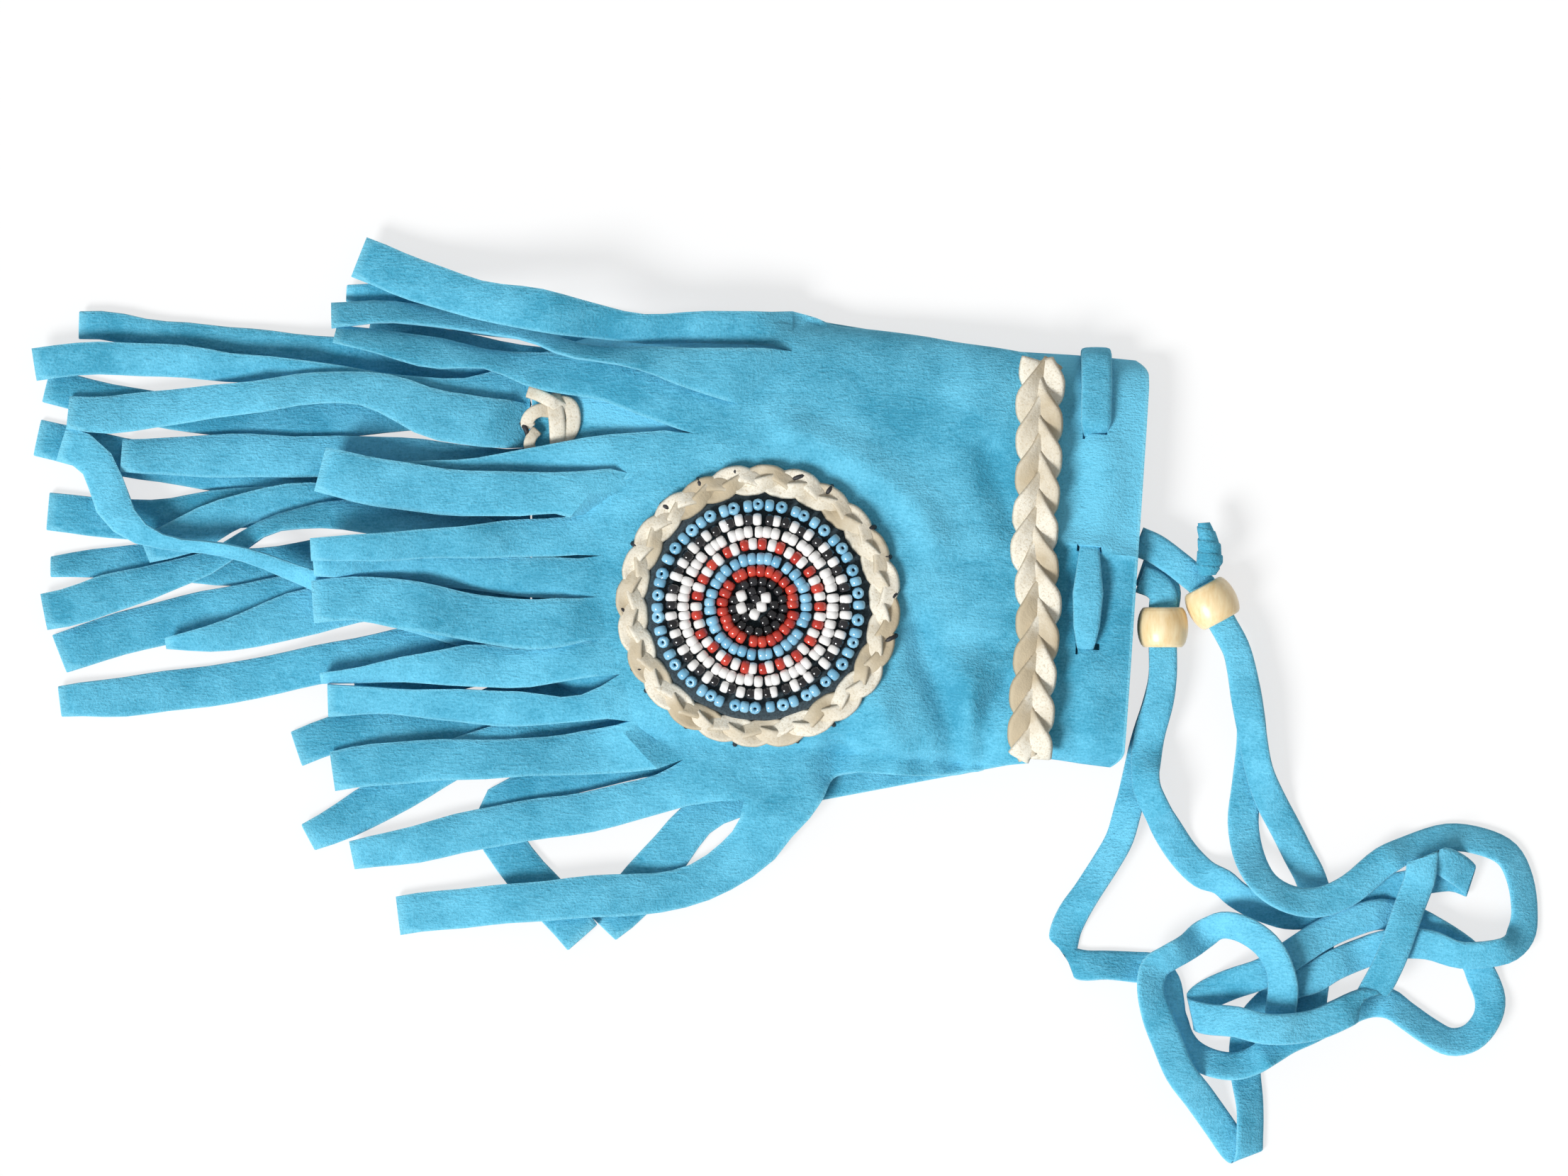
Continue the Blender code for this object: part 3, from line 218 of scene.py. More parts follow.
# Front skirt's free edges, from its first and last slit to the braid
FRONT_TOP_EDGE = ((1118, 440), (1150, 449), (1180, 460), (1240, 467), (1300, 475), (1350, 484),
                  (1400, 491), (1430, 496), (1450, 500))
FRONT_LOW_EDGE = ((1142, 1154), (1160, 1128), (1176, 1098), (1205, 1089), (1260, 1092), (1310, 1094),
                  (1370, 1087), (1420, 1079), (1450, 1076))

# Folds of the front skirt and swells of the cuff: height, half width in millimetres, line
SKIRT_CREASES = (
    (-3.31, 3.4, ((1176, 1092), (1182, 1060), (1190, 1020))),
    (1.55, 5.0, ((1215, 1080), (1222, 1030), (1226, 1000))),
    (-3.09, 3.8, ((1290, 885), (1305, 930), (1325, 975), (1343, 1020), (1350, 1065))),
    (1.99, 4.5, ((1240, 985), (1262, 1045), (1270, 1085))),
    (2.21, 4.0, ((1365, 960), (1368, 1000), (1370, 1060))),
    (-2.87, 3.2, ((1420, 965), (1395, 995), (1382, 1030), (1385, 1065))),
    (-1.77, 4.0, ((1392, 640), (1408, 690), (1430, 735))),
    (1.99, 4.2, ((1120, 610), (1205, 650), (1255, 690), (1295, 725), (1312, 760))),
    (-1.1, 5.0, ((1140, 660), (1215, 690), (1262, 730))),
    (1.1, 7.0, ((1380, 530), (1384, 575))),
    (-0.77, 3.2, ((1345, 905), (1390, 913), (1435, 918))),
)
CUFF_SWELLS = (
    (1.5, 5.0, ((1562, 640), (1566, 700), (1556, 750))),
    (-0.9, 3.0, ((1500, 560), (1520, 610), (1516, 680))),
    (-0.8, 3.2, ((1500, 940), (1530, 1000), (1536, 1060))),
    (0.7, 4.5, ((1570, 960), (1562, 1020))),
    (-0.7, 2.6, ((1575, 800), (1566, 860), (1568, 915))),
    (1.5, 1.6, ((1498, 762), (1560, 774), (1614, 788))),
)

# Painted light and shade on the front, with its nap: paler along lit fold ridges, darker in fold valleys. How
# much, the spread, the line
NAP_AND_LIGHT_BANDS = (
    (0.5, 6.5, ((1100, 580), (1192, 636), (1285, 694), (1385, 745))),
    (0.4, 5.0, ((1340, 522), (1408, 566))),
    (0.5, 5.0, ((945, 500), (1010, 508))),
    (0.8, 3.6, ((1262, 898), (1286, 920))),
    (0.5, 4.0, ((1346, 894), (1396, 890))),
    (0.45, 5.0, ((1230, 980), (1290, 968))),
    (0.4, 5.0, ((700, 634), (820, 624))),
    (0.25, 6.0, ((900, 1010), (1010, 1040))),
    (-0.5, 6.0, ((860, 560), (1020, 600))),
    (-0.6, 4.0, ((1236, 575), (1331, 617), (1392, 663))),
    (-0.6, 3.2, ((1374, 594), (1385, 660), (1392, 740))),
    (-0.7, 3.0, ((1290, 850), (1316, 917), (1340, 1000))),
    (-0.7, 2.6, ((1358, 965), (1392, 1025))),
    (-0.6, 4.0, ((1177, 1048), (1238, 1005))),
    (-0.4, 5.0, ((1424, 660), (1416, 905))),
    (-0.4, 7.0, ((860, 790), (850, 900))),
)

# How light each strip is painted, about 0 where dark, 1 where pale: its nap with painted light and shade,
# strips lying under others painted darker
STRIP_NAP_AND_LIGHT = {
    "front_skirt": (0.00, 0.30, 0.10, 0.30, 0.70, 0.40, 0.55, 0.30, 0.90, 0.75, 0.45, 0.70, 0.60),
    "back_skirt": (0.10, -0.10, 0.00, -0.10, 0.20, 0.35, 0.15, 0.30),
    "tail_fringe_lower": (0.10, -0.10, 0.30, -0.15, 0.15, 0.10, 0.30),
    "tail_fringe_upper": (0.35, 0.95, 0.80, 0.40, 0.10, 0.45, 0.75),
}

# Braids, stitches and seed beads
MOUTH_BRAID_LINE = ((1470, 510), (1464, 560), (1465, 640), (1462, 700), (1456, 760), (1461, 830),
                    (1462, 900), (1455, 960), (1452, 1010), (1450, 1068))
BRAID_RADIUS, BRAID_HEIGHT = 29.55, 2.4
PLAIT_TOP, PLAIT_STEP = 9, 0.7  # points over a lace's section, and millimetres between sections
STITCHES = 19
THREAD_RADIUS = 0.6
SEED_RADIUS, SEED_LENGTH = 1.47, 2.3
SEED_PITCH, EDGE_PITCH = 2.12, 2.85
# Rings of beads from the inside: number, radius, the colours that repeat along it, slot
RINGS = (
    (2, 8.3, ("red",), "red_beads"),
    (3, 11.2, ("blue",), "light_blue_beads"),
    (4, 14.45, ("red", "white"), "red_beads"),
    (5, 17.4, ("white",), "white_beads"),
    (6, 20.4, ("black", "white"), "black_beads"),
    (7, 23.6, ("blue", "blue"), "light_blue_beads"),
)
CLUSTER_WHITE = ((1046.5, 840.4), (1080.8, 843.1), (1074.6, 855.4), (1046.5, 857.7), (1064.6, 866.2))

# Bands of the knot in the buff lacing: width, then drawing x and y and millimetres above the seam
KNOT_BANDS = (
    (3.9, ((781, 557, 0.5), (784, 574, 1.7), (787, 594, 2.1), (788, 614, 1.6), (789, 632, 0.4))),
    (3.0, ((746, 553, 0.3), (760, 558, 1.0), (776, 566, 2.6), (790, 574, 1.7), (802, 582, 0.9))),
    (3.7, ((789, 569, 0.6), (803, 572, 1.3), (809, 583, 1.5), (809, 600, 1.5), (802, 614, 1.2),
           (789, 622, 0.5))),
    (3.2, ((779, 581, 1.2), (763, 580, 1.8), (751, 586, 1.6), (745, 597, 1.0), (749, 604, 0.5))),
    (2.7, ((759, 608, 0.4), (752, 616, 1.0), (748, 627, 1.0), (750, 637, 0.3))),
)


class Value:
    """A number that changes over a surface; + - and * on it add Math nodes."""

    def __init__(self, paint, socket):
        self.paint = paint
        self.socket = socket

    def _maths(self, operation, other):
        made = self.paint.node("ShaderNodeMath", {0: self, 1: other}, operation=operation)
        return Value(self.paint, made.outputs[0])

    def __add__(self, other):
        return self._maths("ADD", other)

    def __sub__(self, other):
        return self._maths("SUBTRACT", other)

    def __mul__(self, other):
        return self._maths("MULTIPLY", other)

    def between(self, low, high):
        """0 at low and 1 at high, held within those ends."""
        rising = (self - low) * (1.0 / (high - low))
        return rising._maths("MAXIMUM", 0.0)._maths("MINIMUM", 1.0)


class Paint:
    """One material and its nodes; settings are sockets of its surface shader."""

    def __init__(self, name, **settings):
        self.material = bpy.data.materials.new(name)
        self.material.use_nodes = True
        self.nodes = self.material.node_tree.nodes
        self.shader = self.nodes["Principled BSDF"]
        for socket, value in settings.items():
            self.put(socket.replace("_", " "), value)

    def plug(self, socket, value):
        """A number, colour or link for any socket."""
        if isinstance(value, Value):
            value = value.socket
        if isinstance(value, bpy.types.NodeSocket):
            self.material.node_tree.links.new(value, socket)
        else:
            socket.default_value = value

    def put(self, name, value):
        """The same for a socket of the surface shader, by its name."""
        self.plug(self.shader.inputs[name], value)

    def node(self, kind, sockets=None, **settings):
        """A node of any kind: its settings are put first, then the values or links of its sockets."""
        made = self.nodes.new(kind)
        for name, value in settings.items():
            setattr(made, name, value)
        for key, value in (sockets or {}).items():
            self.plug(made.inputs[key], value)
        return made

    def noise(self, size, detail=2.0, roughness=0.5, stretch=(1.0, 1.0, 1.0)):
        """Soft noise from 0 to 1 whose lumps are about size millimetres across, stretched along the axes."""
        here = self.node("ShaderNodeTexCoord").outputs["Object"]
        scale = tuple(share / MM for share in stretch)
        places = self.node("ShaderNodeMapping", {"Vector": here, "Scale": scale}).outputs[0]
        made = self.node("ShaderNodeTexNoise", {"Vector": places, "Scale": 1.0 / size, "Detail": detail,
                                                "Roughness": roughness})
        return Value(self, made.outputs[0])

    def attribute(self, name):
        """A number held by the mesh's points."""
        return Value(self, self.node("ShaderNodeAttribute", attribute_name=name).outputs["Fac"])

    def mix(self, share, first, second):
        """Between two colours."""
        return self.node("ShaderNodeMix", {0: share, 6: first, 7: second}, data_type="RGBA").outputs[2]

    def bump(self, height, depth, strength):
        """A normal from height, 1 of which stands depth millimetres proud."""
        made = self.node("ShaderNodeBump", {"Height": height, "Distance": depth * MM, "Strength": strength})
        self.put("Normal", made.outputs[0])


def suede_paint(name, deep, full, pale):
    """Brushed suede: cloudy nap, a fine speckle of fibres, and paler worn edges."""
    paint = Paint(name, Roughness=0.95, Sheen_Weight=0.22, Sheen_Roughness=0.55,
                  Sheen_Tint=(0.45, 0.85, 1.0, 1.0), Specular_IOR_Level=0.15)
    clouds = paint.noise(24.0, 3.0, 0.55)
    brushed = paint.noise(5.0, 4.0, 0.6, (0.55, 1.0, 1.0))
    speckle = paint.noise(0.55, 3.0, 0.7)
    fibres = paint.noise(0.8, 2.0, 0.6, (0.35, 1.6, 1.0))
    blotches = paint.noise(9.0, 3.0, 0.55)
    # The tint attribute adds painted light and shade here: on the sheets and the cuff it holds painted light
    # and shade with paler and darker nap
    tone = (clouds * 0.7 + blotches * 0.6 + brushed * 0.5 + speckle * 0.9 + fibres * 0.55 - 1.12
            + (paint.attribute("tint") - 0.5) * 0.30)
    edge = paint.attribute("edge").between(0.55, 1.0)
    body = paint.mix(tone.between(0.18, 0.82), deep, full)
    worn = (edge * (speckle * 0.7 + 0.35)).between(0.0, 1.0)
    paint.put("Base Color", paint.mix(worn * 0.75, body, pale))
    relief = speckle * 0.6 + fibres * 0.5 + brushed * 0.5 + blotches * 0.9 + clouds * 0.6
    paint.bump(relief, depth=0.6, strength=0.95)
    return paint.material


def plait_paint():
    """Buff lace: smooth side and flesh side in patches, with tiny dark pits, and darker cut edges that are
    also painted shade where laces meet.
    """
    paint = Paint("buff_lace", Roughness=0.78, Specular_IOR_Level=0.3, Sheen_Weight=0.1)
    patches = paint.noise(6.0)
    speckle = paint.noise(0.5, 3.0, 0.7)
    creases = paint.noise(1.6, 3.0, 0.6)
    tone = (patches * 0.7 + paint.attribute("tint") * 0.9 - 0.3).between(0.2, 0.8)
    body = paint.mix(tone, (0.50, 0.42, 0.29, 1), (0.80, 0.76, 0.65, 1))
    flecked = paint.mix(speckle.between(0.24, 0.5), (0.52, 0.43, 0.29, 1), body)
    # Darker edges: painted shade where laces tuck under one another, with the cut edges' own darker colour
    edge = paint.attribute("edge").between(0.5, 1.0)
    paint.put("Base Color", paint.mix(edge * 0.45, flecked, (0.36, 0.28, 0.16, 1)))
    paint.bump(creases * 0.7 + speckle * 0.4, depth=0.3, strength=0.8)
    return paint.material


def wood_paint():
    """Varnished pale wood with growth lines along the bead."""
    paint = Paint("varnished_wood", Coat_Weight=0.6, Coat_Roughness=0.3, Specular_IOR_Level=0.4)
    lines = paint.noise(0.7, 3.0, 0.6, (1.0, 0.18, 1.0))
    streaks = paint.noise(2.2, 2.0, 0.5, (1.0, 0.3, 1.0))
    tone = (lines * 0.6 + streaks * 0.6 - 0.1).between(0.2, 0.8)
    paint.put("Base Color", paint.mix(tone, (0.78, 0.53, 0.23, 1), (0.98, 0.84, 0.55, 1)))
    paint.put("Roughness", lines * 0.14 + 0.32)
    paint.bump(lines, depth=0.05, strength=0.4)
    return paint.material


def bead_paint(name, deep, full, roughness=0.16):
    """Pressed glass: each bead a shade of its own, with faint moulding streaks."""
    paint = Paint(name, Specular_IOR_Level=0.6, Coat_Weight=0.3, Coat_Roughness=0.06)
    streaks = paint.noise(0.9)
    tone = (paint.attribute("shade") * 0.8 + streaks * 0.4 - 0.1).between(0.0, 1.0)
    paint.put("Base Color", paint.mix(tone, deep, full))
    paint.put("Roughness", streaks * 0.08 + roughness)
    return paint.material


def felt_paint():
    """Dark felt with stray fibres."""
    paint = Paint("dark_felt", Roughness=0.95, Sheen_Weight=0.2)
    fuzz = paint.noise(0.5, 4.0, 0.7)
    tone = fuzz.between(0.3, 0.75)
    paint.put("Base Color", paint.mix(tone, (0.012, 0.02, 0.028, 1), (0.06, 0.10, 0.12, 1)))
    paint.bump(fuzz, depth=0.3, strength=0.9)
    return paint.material


def thread_paint():
    """Twisted black sewing thread."""
    paint = Paint("black_thread", Roughness=0.6)
    twist = paint.noise(0.25)
    tone = twist.between(0.3, 0.7)
    paint.put("Base Color", paint.mix(tone, (0.008, 0.008, 0.01, 1), (0.035, 0.035, 0.04, 1)))
    paint.bump(twist, depth=0.08, strength=0.6)
    return paint.material


def floor_paint():
    """Matt white card, seen brighter by the camera than it lights the object, so its shadows stay faint."""
    paint = Paint("white_card", Base_Color=(0.90, 0.90, 0.90, 1), Roughness=1.0, Specular_IOR_Level=0.0)
    rays = paint.node("ShaderNodeLightPath")
    seen = Value(paint, rays.outputs["Is Camera Ray"]) + Value(paint, rays.outputs["Is Glossy Ray"])
    glow = paint.node("ShaderNodeEmission", {"Color": (1, 1, 1, 1), "Strength": 1.0})
    blend = paint.node("ShaderNodeMixShader",
                       {0: seen * 0.72, 1: paint.shader.outputs[0], 2: glow.outputs[0]})
    paint.plug(paint.nodes["Material Output"].inputs[0], blend.outputs[0])
    return paint.material


def quads(index, close_rows=False, close_columns=False):
    """Four-cornered faces of a grid of vertex numbers, turned so that rows x columns point outwards."""
    if close_rows:
        index = np.vstack([index, index[:1]])
    if close_columns:
        index = np.hstack([index, index[:, :1]])
    return np.dstack([index[:-1, :-1], index[1:, :-1], index[1:, 1:], index[:-1, 1:]]).reshape(-1, 4)


def capped(index):
    """Faces of a grid of vertex numbers whose rows are rings, with one more face over each end."""
    return quads(index, close_columns=True).tolist() + index[[0, -1]].tolist()


def numbered(points, start=0):
    """Vertex numbers of a grid of points."""
    return start + np.arange(points.shape[0] * points.shape[1]).reshape(points.shape[:2])


def placed(name, data):
    """A new object in the scene."""
    made = bpy.data.objects.new(name, data)
    bpy.context.scene.collection.objects.link(made)
    return made


def piece(name, points, faces, finishes, slot, body="bag", outwards=True, **attributes):
    """A smooth mesh from millimetre points, riding on a body; attributes are one number for each point."""
    points = np.asarray(points, float).reshape(-1, 3)
    mesh = bpy.data.meshes.new(name)
    mesh.from_pydata((points * MM).tolist(), [], faces.tolist() if isinstance(faces, np.ndarray) else faces)
    for label, values in attributes.items():
        held = mesh.attributes.new(label, "FLOAT", "POINT")
        held.data.foreach_set("value", np.asarray(values, np.float32).ravel())
    if outwards:
        work = bmesh.new()
        work.from_mesh(mesh)
        bmesh.ops.recalc_face_normals(work, faces=work.faces)
        work.to_mesh(mesh)
        work.free()
    mesh.shade_smooth()
    for finish in finishes:
        mesh.materials.append(finish)
    made = placed(f"{name}_fine", mesh)
    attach(made, body)
    return made


def thicken(made, rounding):
    """Gives a sheet of suede its thickness below its face, and rounds its cut edges."""
    shell = made.modifiers.new("thickness", "SOLIDIFY")
    shell.thickness = SUEDE * MM
    shell.offset = -1.0
    shell.use_even_offset = False
    edge = made.modifiers.new("rounding", "BEVEL")
    edge.width = rounding * MM
    edge.segments = 2
    edge.limit_method = "ANGLE"
    edge.angle_limit = math.radians(50)


def from_drawing(x, y):
    """Millimetres from drawing units."""
    return (x - DRAWING_CENTRE[0]) / UNITS_PER_MM, (DRAWING_CENTRE[1] - y) / UNITS_PER_MM


def traced(points):
    """Drawing points, with or without a width, in millimetres."""
    rows = np.asarray(points, float)
    x, y = from_drawing(rows[:, 0], rows[:, 1])
    return np.column_stack([x, y, rows[:, 2:] / UNITS_PER_MM])


def unit(vectors):
    """Vectors brought to length 1."""
    return vectors / np.maximum(np.linalg.norm(vectors, axis=-1, keepdims=True), 1e-9)


def along_line(points):
    """Unit direction of a line at each of its points."""
    return unit(np.gradient(points, axis=0))


def ramp(values, start, span):
    """0 up to start, rising evenly to 1 over span, and 1 from there on."""
    return np.clip((values - start) / span, 0.0, 1.0)


def crowded(first, last, count):
    """Numbers between -1 and 1 that crowd towards both: the sine of even steps of a quarter turn."""
    return np.sin(np.linspace(first, last, count) * math.pi / 2)


def evenly(first, last, count):
    """Points in a straight line from first to last."""
    share = np.linspace(0, 1, count)[:, None]
    return first * (1 - share) + last * share


def run_of(points):
    """Distance along a line of points, from its first."""
    return np.concatenate([[0.0], np.cumsum(np.linalg.norm(np.diff(points, axis=0), axis=1))])


def spline(points, per_span):
    """Catmull-Rom curve through the rows: per_span steps to each span, with the cubic's usual weights."""
    points = np.asarray(points, float)
    padded = np.vstack([2 * points[0] - points[1], points, 2 * points[-1] - points[-2]])
    t = np.arange(per_span)[:, None] / per_span
    spans = [0.5 * ((2 * b) + (c - a) * t + (2 * a - 5 * b + 4 * c - d) * t ** 2
                    + (3 * b - a - 3 * c + d) * t ** 3)
             for a, b, c, d in zip(padded, padded[1:], padded[2:], padded[3:])]
    return np.vstack(spans + [points[-1:]])


def read_evenly(line, run, count):
    """A line's rows at count even shares of the distance run along it."""
    at = np.linspace(0.0, run[-1], count)
    return np.column_stack([np.interp(at, run, column) for column in line.T])


def paced(points, step):
    """The curve through the points, read at even steps in plan."""
    fine = spline(points, 16)
    run = run_of(fine[:, :2])
    return read_evenly(fine, run, max(2, int(round(run[-1] / step)) + 1))


def border(line, rows):
    """A traced edge read at rows even shares of its length."""
    fine = spline(traced(line), 12)
    return read_evenly(fine, run_of(fine), rows)


def softened(values, passes):
    """Rows of numbers, each averaged with its neighbours, ends held."""
    values = np.array(values, float)
    for _ in range(passes):
        values[1:-1] = 0.25 * values[:-2] + 0.5 * values[1:-1] + 0.25 * values[2:]
    return values


# The pouch's shape, the same as its solids'

def pouch_centre(x):
    """The pouch's centreline leans a little up the drawing towards its bottom end."""
    return 18.5 - 0.0814 * (x - POUCH_LEFT)


def pouch_half_width(x):
    """Nearly constant, drawn in at the bottom corners."""
    return 37.0 + 9.5 * np.sin(ramp(x, POUCH_LEFT, 34.0) * math.pi / 2) + 1.3 * ramp(x, 60.0, 60.0)


def crown(x):
    """Height of the filled-out front above the seam: low at the bottom seam and at the mouth."""
    return CROWN * (0.25 + 0.75 * np.sin(ramp(x, POUCH_LEFT, 40.0) * math.pi / 2)) - 0.8 * ramp(x, 95.0, 40.0)


def dome(x, y, overhang=0.0):
    """Height of the front above the seam: a flat-topped arch, (1 - |v| to the 6th) to the 0.6."""
    across = np.abs((y - pouch_centre(x)) / (pouch_half_width(x) + overhang))
    return crown(x) * np.clip(1.0 - across ** 6, 0.0, 1.0) ** 0.6


def pouch_top(x, y):
    """Outer face of the pouch's front."""
    return POUCH_BASE + SEAM_HEIGHT + dome(x, y)


def skirt_top(x, y):
    """Outer face of the front skirt, one layer above the pouch and dropping at the skirt's free edges."""
    return POUCH_BASE + GAP + SUEDE + SEAM_HEIGHT * 0.9 + dome(x, y, SKIRT_OVERHANG) + 0.3


def mouth_lean(x, y):
    """The mouth's edge is cut a little askew, farther back at the lower side of the drawing."""
    return -6.0 * ramp(x, 100.0, POUCH_RIGHT - 100.0) * np.clip((48.0 - y) / 90.0, 0.0, 1.1)


def near_line(x, y, line):
    """Distance in millimetres from each point to a line drawn in drawing units."""
    ends = traced(line)
    best = np.full(np.shape(x), np.inf)
    for (ax, ay), (bx, by) in zip(ends, ends[1:]):
        long = (bx - ax) ** 2 + (by - ay) ** 2
        t = np.clip(((x - ax) * (bx - ax) + (y - ay) * (by - ay)) / long, 0.0, 1.0)
        best = np.minimum(best, np.hypot(x - ax - t * (bx - ax), y - ay - t * (by - ay)))
    return best


def bells(x, y, bands):
    """Sum of bell curves of the distance to each band's line: its height, spread in millimetres and line."""
    total = np.zeros(np.shape(x))
    for height, spread, line in bands:
        total = total + height * np.exp(-(near_line(x, y, line) / spread) ** 2)
    return total


def waves(x, y, size, seed):
    """Gentle unevenness from -1 to 1: three sine waves in different directions, size millimetres long."""
    total = 0.0
    for k, (turn, stretch) in enumerate(((0.4, 1.0), (1.9, 0.71), (2.9, 1.37))):
        phase = (x * math.cos(turn + seed) + y * math.sin(turn + seed)) / (size * stretch)
        total = total + np.sin(2 * math.pi * phase + seed * (k + 1.3))
    return total / 3.0


def folds(x, y):
    """Soft folds and unevenness of the front skirt, which lies smooth under the rosette."""
    clear = ramp(np.hypot(x - ROSETTE[0], y - ROSETTE[1]), 30.0, 8.0)
    return clear * (bells(x, y, SKIRT_CREASES) + 0.12 * waves(x, y, size=23.0, seed=2.0))


def settle(paths, sheets, slope, clearance):
    """Least heights at which strips lie over one another.

    Each path is x, y, width, rank, least height and rise for each station, and sheets says which piece it
    belongs to. Where two stretches meet in plan, or on different pieces come within clearance, the one
    of higher rank lies a thickness and a gap above the other, and no strip climbs steeper than slope.
    """
    owner = np.concatenate([np.full(len(p) - 1, i) for i, p in enumerate(paths)])
    first = np.concatenate([np.arange(len(p) - 1) for p in paths])
    start = np.cumsum([0] + [len(p) for p in paths])
    low = start[owner] + first
    every = np.vstack(paths)
    discs = (every[low, :3], 0.5 * (every[low, :3] + every[low + 1, :3]))
    rank = np.minimum(every[low, 3], every[low + 1, 3])
    reach = np.full((len(low), len(low)), np.inf)
    for one in discs:
        for other in discs:
            apart = one[:, None] - other[None]
            spread = np.hypot(apart[..., 0], apart[..., 1])
            reach = np.minimum(reach, spread - 0.5 * (one[:, None, 2] + other[None, :, 2]))
    sheet = np.asarray(sheets)[owner]
    margin = np.where(sheet[:, None] == sheet[None, :], -SHEET_OVERLAP, clearance)
    meets = (reach < margin) & (rank[:, None] > rank[None, :])
    near = (owner[:, None] == owner[None, :]) & (np.abs(first[:, None] - first[None, :]) < NEAR_STATIONS)
    upper, lower = np.nonzero(meets & ~near)
    height = every[:, 4].copy()
    run = np.concatenate([np.append(np.hypot(*np.diff(p[:, :2], axis=0).T), np.inf) for p in paths])[:-1]
    drop = slope * run
    for _ in range(SETTLING_PASSES):
        before = height.copy()
        top = np.maximum(height[low] + every[low, 5], height[low + 1] + every[low + 1, 5]) + SUEDE + GAP
        need = np.zeros(len(low))
        np.maximum.at(need, upper, top[lower])
        np.maximum.at(height, low, need)
        np.maximum.at(height, low + 1, need)
        for k in range(len(drop)):
            height[k + 1] = max(height[k + 1], height[k] - drop[k])
        for k in range(len(drop) - 1, -1, -1):
            height[k] = max(height[k], height[k + 1] - drop[k])
        if np.abs(height - before).max() < 1e-4:
            break
    return [height[a:b] for a, b in zip(start, start[1:])]


def eased(height, floor):
    """Heights with their corners rounded, never let below where they were by more than a hair."""
    return np.maximum(np.maximum(softened(height, 6), height - 0.25), floor)


def strip_path(slits, slit, stations, rank, tilt):
    """Plan stations of a fringe strip, from between its slit ends: x, y, width, rank, floor and rise.

    A strip is seen narrower than it was cut where it leans over, and one edge then stands up: the rise
    is most of the side of the right triangle whose long side is the cut width.
    """
    (x1, y1), (x2, y2) = slits[slit], slits[slit + 1]
    root = ((x1 + x2) / 2, (y1 + y2) / 2, 0.85 * math.hypot(x2 - x1, y2 - y1))
    plan = paced(traced([root, *stations]), STRIP_STEP)
    full = math.hypot(x2 - x1, y2 - y1) / UNITS_PER_MM
    run = run_of(plan[:, :2])
    plan[:, 2] = np.clip(plan[:, 2], 2.4, full + 0.22 * run)
    rise = np.minimum(tilt * np.sqrt(np.clip(STRIP_WIDTH ** 2 - plan[:, 2] ** 2, 0.0, None)), LEAN_LIMIT)
    rise = softened(rise * ramp(run, 0.0, 25.0), 4)
    return np.column_stack([plan, np.full(len(plan), float(rank)), np.zeros(len(plan)), rise])


def clear_of_pouch(x, y, reach):
    """Least underside of a strip centred here that clears the pouch across its width; 0 beside it."""
    sideways, along = np.meshgrid(np.linspace(-reach - 1.0, reach + 1.0, 9), np.linspace(-4.0, 4.0, 5))
    px, py = x + along, y + sideways
    over = (np.abs(py - pouch_centre(px)) < pouch_half_width(px) + 0.5) & (px > POUCH_LEFT - 0.5)
    return float(np.where(over, pouch_top(px, py) + GAP + 0.3, 0.0).max())


def patch(left, right, top, low):
    """Grid of points inside four edges: the two pairs of edges blended, less the corners' own blend."""
    v = np.linspace(0.0, 1.0, len(left))[:, None, None]
    u = np.linspace(0.0, 1.0, len(top))[None, :, None]
    sides = left[:, None] * (1 - u) + right[:, None] * u
    ends = top[None] * (1 - v) + low[None] * v
    corners = (top[0] * (1 - u) + top[-1] * u) * (1 - v) + (low[0] * (1 - u) + low[-1] * u) * v
    return sides + ends - corners


